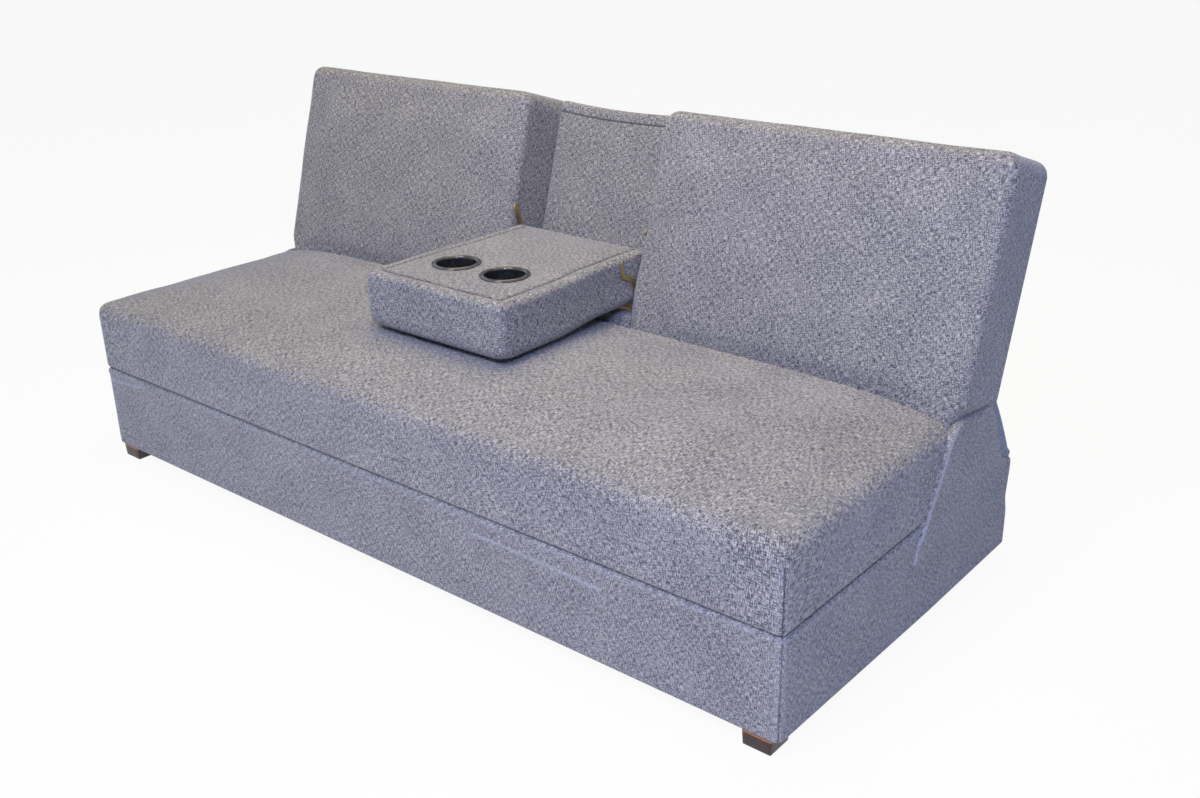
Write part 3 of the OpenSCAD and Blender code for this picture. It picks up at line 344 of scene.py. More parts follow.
def near(distance: np.ndarray, width: float) -> np.ndarray:
    """Share that is 1 at distance 0 and fades out over a width."""
    return np.exp(-((distance / width) ** 2))


def crown(t: np.ndarray, power: float) -> np.ndarray:
    """Height share of a crown that is 1 in the middle and 0 at -1 and 1."""
    return 1 - np.minimum(1, np.abs(t)) ** power


def smooth_step(t: np.ndarray) -> np.ndarray:
    """Soft step from 0 to 1."""
    t = np.clip(t, 0, 1)
    return t * t * (3 - 2 * t)


def noise_at(*parts: object) -> np.ndarray:
    """Smooth noise from -1 to 1 at places given as three columns."""
    return np.array([noise.noise(Vector(p)) for p in np.stack(np.broadcast_arrays(*parts), axis=1)])


@dataclass(frozen=True)
class Ring:
    """A skin's ring: how far outside the face's rim, how far below the face, its corner radius and inward pull."""

    out: float
    drop: float
    corner: float
    pull: float = 0.0


def turned_edge(radius: float, steps: int, corner: float) -> list[Ring]:
    """Rings of a rounded edge that turns from the face down to the side.

    Args:
        radius: of the edge.
        steps: how many rings.
        corner: corner radius at the side; it shrinks towards the face.

    Returns:
        The rings, without the rim itself.
    """
    rings = []
    for i in range(1, steps + 1):
        angle = math.radians(90 * i / steps)
        out = radius * math.sin(angle)
        rings.append(Ring(out, radius * (1 - math.cos(angle)), max(3.0, corner - radius + out)))
    return rings


def drawn_side(out: float, drops: Sequence[float], corner: float, pull: float, ends: tuple) -> list[Ring]:
    """Rings of an upright side that is drawn in most at the middle of its height.

    Args:
        out: how far outside the face's rim.
        drops: how far below the face, for each ring.
        corner: corner radius.
        pull: how far it is drawn in.
        ends: the drops between which it is.

    Returns:
        The rings.
    """
    low, high = ends
    return [Ring(out, float(drop), corner, pull * math.sin(math.pi * ((drop - low) / (high - low))))
            for drop in drops]


def spaced(low: float, high: float, step: float, extra: Sequence = (), ends: Sequence = ()) -> np.ndarray:
    """Grid lines between two places, with lines of their own at chosen ones.

    Args:
        low: first line.
        high: last line.
        step: even spacing.
        extra: places that get lines.
        ends: distances from both ends that get lines.

    Returns:
        The sorted lines.
    """
    lines = set(np.round(np.linspace(low, high, max(3, int(round((high - low) / step)) + 1)), 3))
    wanted = [*extra, *[low + e for e in ends], *[high - e for e in ends]]
    lines = {line for line in lines if all(abs(line - w) > step * 0.4 for w in wanted) or line in (low, high)}
    return np.array(sorted(lines | {round(float(w), 3) for w in wanted} | {low, high}))


class Skin:
    """A closed cushion skin: a gridded face, and sides drawn down from its border ring by ring.

    Attributes:
        piece: the Blender object, in metres.
        co: vertex places in millimetres, before they are put into the object.
        axes: the same places as three rows, which change with them.
        u, v: each vertex's place on the face's rim, from its centre.
        row: the ring that each vertex belongs to.
        seam: the seam marks, dark above 0 and light below, which also carry painted shade and painted highlights.
    """

    def __init__(self, name: str, xs: np.ndarray, ys: np.ndarray, rings: Sequence[Ring],
                 hollow: bool = False) -> None:
        """Models the skin.

        Args:
            name: the piece's name.
            xs: grid lines across the face.
            ys: grid lines along the face.
            rings: the sides' rings, from the face down.
            hollow: leave the face out, for a frame-shaped skin whose last ring lies on its first.
        """
        self.rings = [Ring(0, 0, 3.0), *rings]
        self.middle = [(xs[0] + xs[-1]) / 2, (ys[0] + ys[-1]) / 2]
        self.half = [(xs[-1] - xs[0]) / 2, (ys[-1] - ys[0]) / 2]
        deselect()
        bpy.ops.mesh.primitive_grid_add(x_subdivisions=len(xs) - 1, y_subdivisions=len(ys) - 1, size=2)
        self.piece = named(name)
        bpy.ops.object.mode_set(mode="EDIT")
        bpy.ops.mesh.select_mode(type="EDGE")
        bpy.ops.mesh.select_all(action="DESELECT")
        bm = bmesh.from_edit_mesh(self.piece.data)
        u_layer = bm.verts.layers.float.new("rim_u")
        v_layer = bm.verts.layers.float.new("rim_v")
        bm.verts.layers.int.new("ring")
        for vert in bm.verts:
            vert[u_layer] = xs[round((vert.co.x + 1) / 2 * (len(xs) - 1))] - self.middle[0]
            vert[v_layer] = ys[round((vert.co.y + 1) / 2 * (len(ys) - 1))] - self.middle[1]
        if hollow:
            for vert in bm.verts:
                vert.select_set(not vert.is_boundary)
        else:
            select_border(bm)
        bm.select_flush(True)
        bmesh.update_edit_mesh(self.piece.data)
        if hollow:
            bpy.ops.mesh.delete(type="VERT")
            bpy.ops.mesh.select_all(action="SELECT")
        for k in range(1, len(self.rings)):
            bpy.ops.mesh.extrude_region_move(TRANSFORM_OT_translate={"value": (0, 0, -0.1)})
            bm = bmesh.from_edit_mesh(self.piece.data)
            layer = bm.verts.layers.int["ring"]
            for vert in bm.verts:
                if vert.select:
                    vert[layer] = k
        if not hollow:
            bpy.ops.mesh.edge_face_add()
        bpy.ops.object.mode_set(mode="OBJECT")
        values = self.piece.data.attributes
        self.u, self.v = (read(values[key].data, "value") for key in ("rim_u", "rim_v"))
        self.row = read(values["ring"].data, "value", kind=int)
        self.co = self.placed()
        self.axes = self.co.T
        self.seam = np.zeros(len(self.co))
        self.update()

    def each(self, key: str) -> np.ndarray:
        """Value of each vertex's ring."""
        return np.array([getattr(ring, key) for ring in self.rings])[self.row]

    def placed(self) -> np.ndarray:
        """Works out where every vertex lies.

        Returns:
            The places in millimetres, with the face at height 0.
        """
        out, corner, pull = (self.each(key) for key in ("out", "corner", "pull"))
        places, full, on = [], [], []
        for rim, half in zip((self.u, self.v), self.half):
            reach = half + out
            edge = max(half - SHEAR_HALF, half * 0.4)
            a = np.abs(rim)
            places.append(np.sign(rim) * np.where(a > edge, edge + (a - edge) * (reach - edge) / (half - edge), a))
            full.append(reach)
            on.append(a > half - 1e-4)
        beyond = [np.abs(p) - (reach - corner) for p, reach in zip(places, full)]
        both = (on[0] | on[1]) & (beyond[0] > 0) & (beyond[1] > 0)
        length = np.maximum(np.hypot(*beyond), 1e-9)
        x, y = (np.where(both, np.sign(p) * (reach - corner + b / length * corner), p)
                for p, reach, b in zip(places, full, beyond))
        x = x - np.where(on[0], np.sign(self.u) * pull * np.cos(np.pi / 2 * y / full[1]), 0)
        y = y - np.where(on[1], np.sign(self.v) * pull * np.cos(np.pi / 2 * x / full[0]), 0)
        return np.stack([x + self.middle[0], y + self.middle[1], -self.each("drop")], axis=1)

    def corner_run(self) -> np.ndarray:
        """How far each side vertex is from the upright line of its corner, in millimetres; far away on the face."""
        run = (self.half[0] - np.abs(self.u)) + (self.half[1] - np.abs(self.v))
        return np.where(self.row > 0, run, NEVER)

    def update(self) -> None:
        """Puts the worked-out places into the mesh."""
        put_points(self.piece, self.co)

    def along_normal(self, amount: np.ndarray) -> None:
        """Moves every vertex outwards by its own amount in millimetres."""
        self.update()
        self.co += read(self.piece.data.vertex_normals, "vector", 3) * amount[:, None]

    def sew(self, distance: np.ndarray, depth: float, width: float, shade: float = 1.0) -> None:
        """Sinks a seam into the skin and marks it for the cloth's shading.

        Args:
            distance: of each vertex from the seam line.
            depth: how deep the thread pulls the cloth.
            width: half width of the hollow.
            shade: how dark the line is.
        """
        self.along_normal(-depth * near(distance, width))
        self.seam = np.maximum(self.seam, shade * near(distance, width * 0.8))

    def sew_corners(self, where: np.ndarray, depth: float) -> None:
        """Sews the upright corners and paints a highlight on the cloth beside them.

        Args:
            where: True for the vertices of the sides.
            depth: how deep the thread pulls the cloth.
        """
        run = self.corner_run()
        self.sew(np.where(where, run, NEVER), depth, SEAM_HALF)
        # Painted highlight: the cloth beside each upright corner seam is lightened where the corner catches the
        # light.
        self.seam -= np.where(where, CORNER_HIGHLIGHT * near(run - 8, 4), 0)

    def crease(self, path: Path, height: float, width: float) -> None:
        """Raises or sinks a soft crease that fades out at both ends.

        Args:
            path: its places in the skin's own millimetres.
            height: how far it stands out.
            width: half width of the crease.
        """
        distance, along = segment_distance(self.co, path)
        self.along_normal(height * near(distance, width) * np.sin(np.pi * along) ** 0.7)

    def rub(self, path: Path, width: float, shade: float) -> None:
        """Rubs the cloth lighter along a line, over half a width, by a shade."""
        self.seam -= shade * near(segment_distance(self.co, path)[0], width)

    def ripple(self, size: float, height: float, seed: float, where: np.ndarray) -> None:
        """Gives the cloth the slow unevenness of stretched padding.

        Args:
            size: of one swell.
            height: of the swells.
            seed: shifts the pattern.
            where: share of the ripple at each vertex.
        """
        x, y, z = self.co.T / size
        self.along_normal(noise_at(x + seed, y, z) * height * where)

    def rim_share(self, reach: float) -> np.ndarray:
        """Share that grows from 0 at the face's rim to 1 at a reach further in; 0 on the sides."""
        inset = np.minimum(self.half[0] - np.abs(self.u), self.half[1] - np.abs(self.v))
        return np.where(self.row == 0, smooth_step(inset / reach), 0.0)

    def soften(self, voxel: float, cap: float, where: np.ndarray) -> None:
        """Blows the padding up under its cloth in a short simulation and takes the swelling over.

        Args:
            voxel: mesh size of the simulated copy.
            cap: furthest that a point may move.
            where: share of the swelling at each vertex.
        """
        self.update()
        copy = copied(self.piece, "stuffed")
        copy.data.remesh_voxel_size = voxel * MM
        bpy.ops.object.voxel_remesh()
        rest = read(copy.data.vertices, "co", 3)
        cloth = copy.modifiers.new("stuffing", "CLOTH")
        for key, value in STUFFING.items():
            setattr(cloth.settings, key, value)
        cloth.settings.effector_weights.gravity = 0
        cloth.point_cache.frame_start, cloth.point_cache.frame_end = 1, STUFFING_FRAMES
        for number in range(1, STUFFING_FRAMES + 1):
            bpy.context.scene.frame_set(number)
        take(copy)
        bpy.ops.object.modifier_apply(modifier=cloth.name)
        shift = (read(copy.data.vertices, "co", 3) - rest) / MM
        bpy.context.scene.frame_set(1)
        bpy.data.objects.remove(copy)
        length = np.linalg.norm(shift, axis=1)
        shift *= (cap * np.tanh(length / cap) / np.maximum(length, 1e-9))[:, None]
        tree = kdtree.KDTree(len(rest))
        for i, p in enumerate(rest):
            tree.insert(p, i)
        tree.balance()
        moved = np.zeros_like(self.co)
        for i, p in enumerate(self.co * MM):
            found = tree.find_n(p, 6)
            weights = np.array([1 / (f[2] + voxel * MM * 0.3) for f in found])
            moved[i] = weights @ shift[[f[1] for f in found]] / weights.sum()
        LOG.info("%s swells by up to %.1f mm", self.piece.name, np.linalg.norm(moved, axis=1).max())
        self.co += moved * where[:, None]

    def lay_cloth(self, lay: Lay = Lay.UNROLLED) -> None:
        """Writes the weave map and the seam marks.

        Args:
            lay: unrolled from the face over the edges, or level and upright on each side.
        """
        self.update()
        put_seam(self.piece, self.seam)
        if lay is Lay.UPRIGHT:
            lay_upright(self.piece)
            return
        steps = [math.hypot(b.out - a.out, b.drop - a.drop) for a, b in zip(self.rings, self.rings[1:])]
        arc = np.cumsum([0.0, *steps])[self.row]
        mesh = self.piece.data
        loops = read(mesh.loops, "vertex_index", kind=int)
        totals, starts = (read(mesh.polygons, key, kind=int) for key in ("loop_total", "loop_start"))
        off_x, off_y = (np.minimum.reduceat((np.abs(rim) / half)[loops], starts) > 1 - 1e-5
                        for rim, half in zip((self.u, self.v), self.half))
        wall = np.maximum.reduceat(self.row[loops], starts) > 0
        side_x, side_y = np.repeat(wall & off_x, totals), np.repeat(wall & ~off_x & off_y, totals)
        u, v, a = self.u[loops], self.v[loops], arc[loops]
        uv = np.stack([np.where(side_x, u + np.sign(u) * a, u), np.where(side_y, v + np.sign(v) * a, v)], axis=1)
        put_map(self.piece, uv * MM)

    def finish(self, place: Matrix) -> Piece:
        """Clears the working values and puts the piece in its place.

        Args:
            place: matrix to the row frame.

        Returns:
            The finished piece.
        """
        for name in ("rim_u", "rim_v", "ring"):
            self.piece.data.attributes.remove(self.piece.data.attributes[name])
        face_out(self.piece)
        return settle(self.piece, place)


# Shader tools


class Nodes:
    """Adds nodes to a material's or a group's tree and joins them."""

    def __init__(self, tree: bpy.types.NodeTree) -> None:
        """Keeps the tree to work on."""
        self.tree = tree

    def wire(self, node: bpy.types.Node, inputs: dict) -> None:
        """Joins or sets a node's inputs.

        Args:
            node: the node.
            inputs: socket name or number to a value or to an output socket.
        """
        for key, value in inputs.items():
            if isinstance(value, Socket):
                self.tree.links.new(value, node.inputs[key])
            else:
                node.inputs[key].default_value = value

    def add(self, kind: str, inputs: dict | None = None, **settings: object) -> bpy.types.Node:
        """Adds a node.

        Args:
            kind: its type, without the prefix.
            inputs: what its sockets get.
            settings: its properties.

        Returns:
            The node.
        """
        node = self.tree.nodes.new("ShaderNode" + kind)
        for key, value in settings.items():
            setattr(node, key, value)
        self.wire(node, inputs or {})
        return node

    def out(self, kind: str, inputs: dict | None = None, **settings: object) -> Socket:
        """Adds a node and returns its first output."""
        return self.add(kind, inputs, **settings).outputs[0]

    def math(self, operation: str, *values: object, **settings: object) -> Socket:
        """Result of a math node on two or three values."""
        return self.out("Math", dict(enumerate(values)), operation=operation, **settings)

    def spread(self, value: Socket, low: float, high: float, start: float = 0.0, end: float = 1.0) -> Socket:
        """Maps a value from a start and an end to a low and a high result."""
        return self.out("MapRange", {"Value": value, "From Min": start, "From Max": end,
                                     "To Min": low, "To Max": high})

    def ramp(self, fac: Socket, stops: Sequence[tuple]) -> Socket:
        """Looks a colour up on a ramp.

        Args:
            fac: the place on it.
            stops: places and colours.

        Returns:
            The colour.
        """
        node = self.add("ValToRGB", {"Fac": fac})
        elements = node.color_ramp.elements
        while len(elements) < len(stops):
            elements.new(0.5)
        for element, (place, colour) in zip(elements, stops):
            element.position = place
            element.color = (*colour, 1)
        return node.outputs["Color"]

    def mix(self, fac: Socket | float, a: Socket | tuple, b: Socket | tuple) -> Socket:
        """Mixed colour of a and b by fac."""
        a, b = (c if isinstance(c, Socket) else (*c, 1) for c in (a, b))
        return self.add("Mix", {0: fac, 6: a, 7: b}, data_type="RGBA").outputs[2]

    def noise(self, place: Socket, scale: float, detail: float, roughness: float = 0.5) -> Socket:
        """Noise at a place, of a scale, a detail and a roughness."""
        return self.out("TexNoise", {"Vector": place, "Scale": scale, "Detail": detail, "Roughness": roughness})

    def bump(self, height: Socket, strength: float, distance: float) -> Socket:
        """Normal of a bump with a strength and a height in metres."""
        return self.out("Bump", {"Height": height, "Strength": strength, "Distance": distance})

    def seen(self) -> Socket:
        """Tells the rays that show a surface from those that light others.

        Returns:
            1 for rays from the camera, by reflection or through glass.
        """
        path = self.add("LightPath").outputs
        direct = self.math("MAXIMUM", path["Is Camera Ray"], path["Is Glossy Ray"])
        return self.math("MAXIMUM", direct, path["Is Transmission Ray"])


def make_group(name: str, inputs: dict[str, tuple], outputs: Sequence[str]) -> tuple:
    """Starts a shader node group with named sockets.

    Args:
        name: the group's name.
        inputs: socket name to its type and default.
        outputs: names of its value sockets.

    Returns:
        The group's node tool, its input sockets and its output node.
    """
    group = bpy.data.node_groups.new(name, "ShaderNodeTree")
    for key, (kind, value) in inputs.items():
        socket = group.interface.new_socket(key, in_out="INPUT", socket_type="NodeSocket" + kind)
        if value is not None:
            socket.default_value = value
    for key in outputs:
        group.interface.new_socket(key, in_out="OUTPUT", socket_type="NodeSocketFloat")
    source, sink = (group.nodes.new(kind) for kind in ("NodeGroupInput", "NodeGroupOutput"))
    return Nodes(group), source.outputs, sink


def make_heather_group() -> bpy.types.NodeTree:
    """Builds the heathered weave of all cloths: from a weave map in metres to a thread tone and a height.

    Returns:
        The group.
    """
    tool, given, sink = make_group(
        "heather_weave", {"Map": ("Vector", None), "Seed": ("Float", 0.0), "Slub": ("Float", 1.0),
                          "Contrast": ("Float", 1.0)}, ("Tone", "Height"))
    shift = tool.out("CombineXYZ", {"Z": given["Seed"]})
    at = tool.out("VectorMath", {0: given["Map"], 1: shift}, operation="ADD")
    tones = []
    for stretch in ((110.0, 860.0, 1.0), (860.0, 110.0, 1.0), (900.0, 900.0, 1.0)):
        scaled = tool.out("VectorMath", {0: at, 1: stretch}, operation="MULTIPLY")
        sized = tool.out("VectorMath", {0: scaled, 3: given["Slub"]}, operation="SCALE")
        tones.append(tool.noise(sized, 1.0, 1.0, 0.6))
    slow = tool.noise(at, 9.0, 3.0, 0.6)
    fine = tool.math("MULTIPLY_ADD", tones[2], 0.14, tool.math("MULTIPLY", slow, 0.06))
    threads = tool.math("MULTIPLY_ADD", tool.math("ADD", tones[0], tones[1]), 0.40, fine)
    spread = tool.math("MULTIPLY", tool.math("SUBTRACT", threads, 0.5), given["Contrast"])
    tone = tool.math("MULTIPLY_ADD", spread, 6.2, 0.5, use_clamp=True)
    split = tool.add("SeparateXYZ", {0: at}).outputs
    warp, weft = (tool.math("SINE", tool.math("MULTIPLY", split[axis], 2 * math.pi / THREAD_PITCH))
                  for axis in "XY")
    cross = tool.math("MULTIPLY_ADD", tool.math("MULTIPLY", warp, weft), 0.22, tool.math("MULTIPLY", tone, 0.9))
    tool.wire(sink, {"Tone": tone, "Height": cross})
    return tool.tree


def make_grain_group() -> bpy.types.NodeTree:
    """Builds the streaked grain of boards, slats and feet: from a place to a grain mask.

    Returns:
        The group.
    """
    tool, given, sink = make_group("board_grain", {"Place": ("Vector", None), "Length": ("Float", 3.0),
                                                   "Fineness": ("Float", 60.0)}, ("Grain",))
    stretch = tool.out("CombineXYZ", {"X": given["Length"], "Y": given["Fineness"], "Z": given["Fineness"]})
    at = tool.out("VectorMath", {0: given["Place"], 1: stretch}, operation="MULTIPLY")
    grain = tool.noise(at, 1.0, 5.0, 0.65)
    tool.wire(sink, {"Grain": grain})
    return tool.tree


@dataclass(frozen=True)
class Finish:
    """Base of every finish: a named material with a Principled shader."""

    name: str

    def start(self) -> tuple[Material, Nodes, bpy.types.Node]:
        """Makes the empty material.

        Returns:
            The material, its node tool and its Principled shader.
        """
        material = bpy.data.materials.new(self.name)
        material.use_nodes = True
        return material, Nodes(material.node_tree), material.node_tree.nodes["Principled BSDF"]


@dataclass(frozen=True)
class ClothFinish(Finish):
    """Heathered linen weave of dark, middle and light threads."""

    group: bpy.types.NodeTree = None
    dark: tuple = (0.070, 0.073, 0.105)
    middle: tuple = (0.215, 0.210, 0.232)
    light: tuple = (0.60, 0.585, 0.575)
    # Bluish lighter colour mixed in where marks fall below 0: rubbed wear and lint, and painted highlights on lit
    # ridges, corners and seam folds.
    worn: tuple = (0.50, 0.55, 0.66)
    sheen: tuple = (0.72, 0.80, 1.0, 1.0)
    slub: float = 1.0
    contrast: float = 1.0
    seed: float = 0.0
    relief: float = 0.0007

    def make(self) -> Material:
        """Builds the cloth.

        Returns:
            The material.
        """
        material, tool, shader = self.start()
        weave = tool.add("Group", node_tree=self.group)
        tool.wire(weave, {"Map": tool.out("UVMap", uv_map=WEAVE_MAP), "Seed": self.seed, "Slub": self.slub,
                          "Contrast": self.contrast})
        colour = tool.ramp(weave.outputs["Tone"], [(0.0, self.dark), (0.44, self.middle), (1.0, self.light)])
        mark = tool.add("Attribute", attribute_name=SEAM_AND_LIGHT_MARKS, attribute_type="GEOMETRY").outputs["Fac"]
        # Marks above 0 darken towards a dark seam colour, which also serves as painted shade; marks below 0 lighten
        # towards the lighter colour, which also serves as painted highlight.
        shaded = tool.mix(tool.spread(mark, 0.0, 0.75), colour, tuple(c * 0.4 for c in self.dark))
        shaded = tool.mix(tool.spread(mark, 0.0, 1.0, end=-1.0), shaded, tool.mix(0.78, shaded, self.worn))
        tool.wire(shader, {"Base Color": shaded, "Normal": tool.bump(weave.outputs["Height"], 0.55, self.relief),
                           "Roughness": 0.88, "Specular IOR Level": 0.25, "Sheen Weight": 0.45,
                           "Sheen Roughness": 0.38, "Sheen Tint": self.sheen})
        return material


@dataclass(frozen=True)
class BoardFinish(Finish):
    """Wood with a streaked grain along X, and if wanted an edge of another colour above a height."""

    group: bpy.types.NodeTree = None
    dark: tuple = (0.30, 0.18, 0.09)
    light: tuple = (0.58, 0.41, 0.24)
    length: float = 3.0
    fineness: float = 60.0
    roughness: float = 0.62
    edge: tuple | None = None
    edge_z: float = 0.0

    def make(self) -> Material:
        """Builds the wood.

        Returns:
            The material.
        """
        material, tool, shader = self.start()
        place = tool.add("TexCoord").outputs["Object"]
        streaks = tool.add("Group", node_tree=self.group)
        tool.wire(streaks, {"Place": place, "Length": self.length, "Fineness": self.fineness})
        grain = streaks.outputs["Grain"]
        colour = tool.ramp(grain, [(0.3, self.dark), (0.7, self.light)])
        if self.edge is not None:
            height = tool.add("SeparateXYZ", {0: place}).outputs["Z"]
            uneven = tool.math("MULTIPLY_ADD", grain, 0.006, height)
            colour = tool.mix(tool.spread(uneven, 0.0, 1.0, self.edge_z, self.edge_z + 0.0015), colour, self.edge)
        tool.wire(shader, {"Base Color": colour, "Normal": tool.bump(grain, 0.3, 0.0006),
                           "Roughness": tool.spread(grain, self.roughness - 0.12, self.roughness + 0.12)})
        return material


@dataclass(frozen=True)
class MetalFinish(Finish):
    """Plated metal with fine rubbing marks and a slightly stained colour."""

    colour: tuple = (0.56, 0.57, 0.58)
    stain: tuple = (0.40, 0.41, 0.43)
    roughness: float = 0.34
    scale: float = 160.0

    def make(self) -> Material:
        """Builds the metal.

        Returns:
            The material.
        """
        material, tool, shader = self.start()
        place = tool.add("TexCoord").outputs["Object"]
        marks = tool.noise(place, self.scale, 6.0, 0.7)
        cloud = tool.noise(place, self.scale / 6, 3.0)
        stained = tool.mix(tool.spread(cloud, 0.0, 1.0, 0.42, 0.66), self.colour, self.stain)
        tool.wire(shader, {"Base Color": stained,
                           "Roughness": tool.spread(marks, self.roughness - 0.12, self.roughness + 0.22),
                           "Normal": tool.bump(marks, 0.15, 0.0002), "Metallic": 1.0})
        return material


@dataclass(frozen=True)
class PlasticFinish(Finish):
    """Moulded plastic, glossy or matt, with faint flow marks."""

    colour: tuple = (0.016, 0.017, 0.021)
    worn: tuple = (0.040, 0.041, 0.046)
    roughness: float = 0.16
    coat: float = 0.0

    def make(self) -> Material:
        """Builds the plastic.

        Returns:
            The material.
        """
        material, tool, shader = self.start()
        place = tool.add("TexCoord").outputs["Object"]
        cloud = tool.noise(place, 60.0, 5.0, 0.7)
        rubbed = tool.mix(tool.spread(cloud, 0.0, 1.0, 0.5, 0.75), self.colour, self.worn)
        tool.wire(shader, {"Base Color": rubbed,
                           "Roughness": tool.spread(cloud, self.roughness, self.roughness + 0.1),
                           "Normal": tool.bump(cloud, 0.06, 0.0004), "Coat Weight": self.coat})
        return material


class Wardrobe:
    """All finishes of the sofa, made once."""

    def __init__(self) -> None:
        """Builds the shared groups and the materials."""
        heather, grain = make_heather_group(), make_grain_group()
        self.cloth = ClothFinish("grey_heather_cloth", heather).make()
        self.seat = ClothFinish("grey_heather_seat_cloth", heather, slub=0.95, contrast=1.12, seed=1.0).make()
        # The flap's darker lining cloth is its own; its blue cast is painted cool light from the sky side.
        self.lining = ClothFinish("bluish_flap_cloth", heather, dark=(0.08, 0.10, 0.15), middle=(0.19, 0.22, 0.30),
                                  light=(0.44, 0.49, 0.60), slub=1.1, seed=3.0).make()
        self.webbing = ClothFinish("elastic_webbing", heather, dark=(0.006, 0.006, 0.007),
                                   middle=(0.016, 0.016, 0.018), light=(0.05, 0.05, 0.055),
                                   slub=0.6, seed=5.0).make()
        self.board = BoardFinish("raw_board", grain, fineness=90.0).make()
        self.slat = BoardFinish("bent_plywood_slat", grain, dark=(0.46, 0.32, 0.18), light=(0.72, 0.56, 0.36),
                                length=50.0, fineness=8.0, roughness=0.5).make()
        self.foot = BoardFinish("dark_stained_foot", grain, dark=(0.020, 0.010, 0.009), light=(0.055, 0.028, 0.022),
                                length=14.0, fineness=40.0, roughness=0.38, edge=(0.42, 0.16, 0.06),
                                edge_z=0.0285).make()
        self.steel = MetalFinish("zinc_plated_steel").make()
        self.brass = MetalFinish("yellow_plated_strap", colour=(0.54, 0.43, 0.20), stain=(0.30, 0.23, 0.10),
                                 roughness=0.4, scale=300.0).make()
        self.cup = PlasticFinish("glossy_black_cup", coat=0.6).make()
        self.cap = PlasticFinish("matt_black_cap", colour=(0.02, 0.02, 0.02), roughness=0.55).make()

    def dress_nodes(self) -> None:
        """Gives every solid that stays its own finish."""
        slots = {part["node"]: part["material_slot"] for part in frame["record"]["subparts"]}
        finishes = {"upholstery": self.cloth, "lining": self.lining, "webbing": self.webbing,
                    "frame_wood": self.board, "slat_wood": self.slat, "foot_wood": self.foot,
                    "mechanism_steel": self.steel, "strap_metal": self.brass,
                    "cup_plastic": self.cup, "cap_plastic": self.cap}
        for name, node in frame["nodes"].items():
            for slot in node.material_slots:
                slot.material = finishes[slots[name]]


def wear(piece: Piece, material: Material, body: str | None, slot: str, *nodes: str) -> None:
    """Dresses a piece and ties it to the solids that it stands for.

    Args:
        piece: the object.
        material: its finish.
        body: the body that it moves with, or None if it hangs between two.
        slot: the record's material slot; not used.
        nodes: the solids that it replaces.
    """
    piece.data.materials.clear()
    piece.data.materials.append(material)
    if body:
        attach(piece, body)
    if nodes:
        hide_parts(*nodes)
    LOG.info("%s: %d faces, rides on %s", piece.name, len(piece.data.polygons), body or "two bodies")


def upholster(skin: Skin, cloth: Material, body: str, place: Matrix, fill: float, *nodes: str) -> None:
    """Finishes a padded skin in its place and dresses it.

    Args:
        skin: the skin, with its cloth laid.
        cloth: its finish.
        body: the body that it moves with.
        place: matrix to the row frame.
        fill: how firmly it is padded; not used.
        nodes: the solids that it replaces.
    """
    piece = skin.finish(place)
    wear(piece, cloth, body, "upholstery", *nodes)


# Sub-assemblies


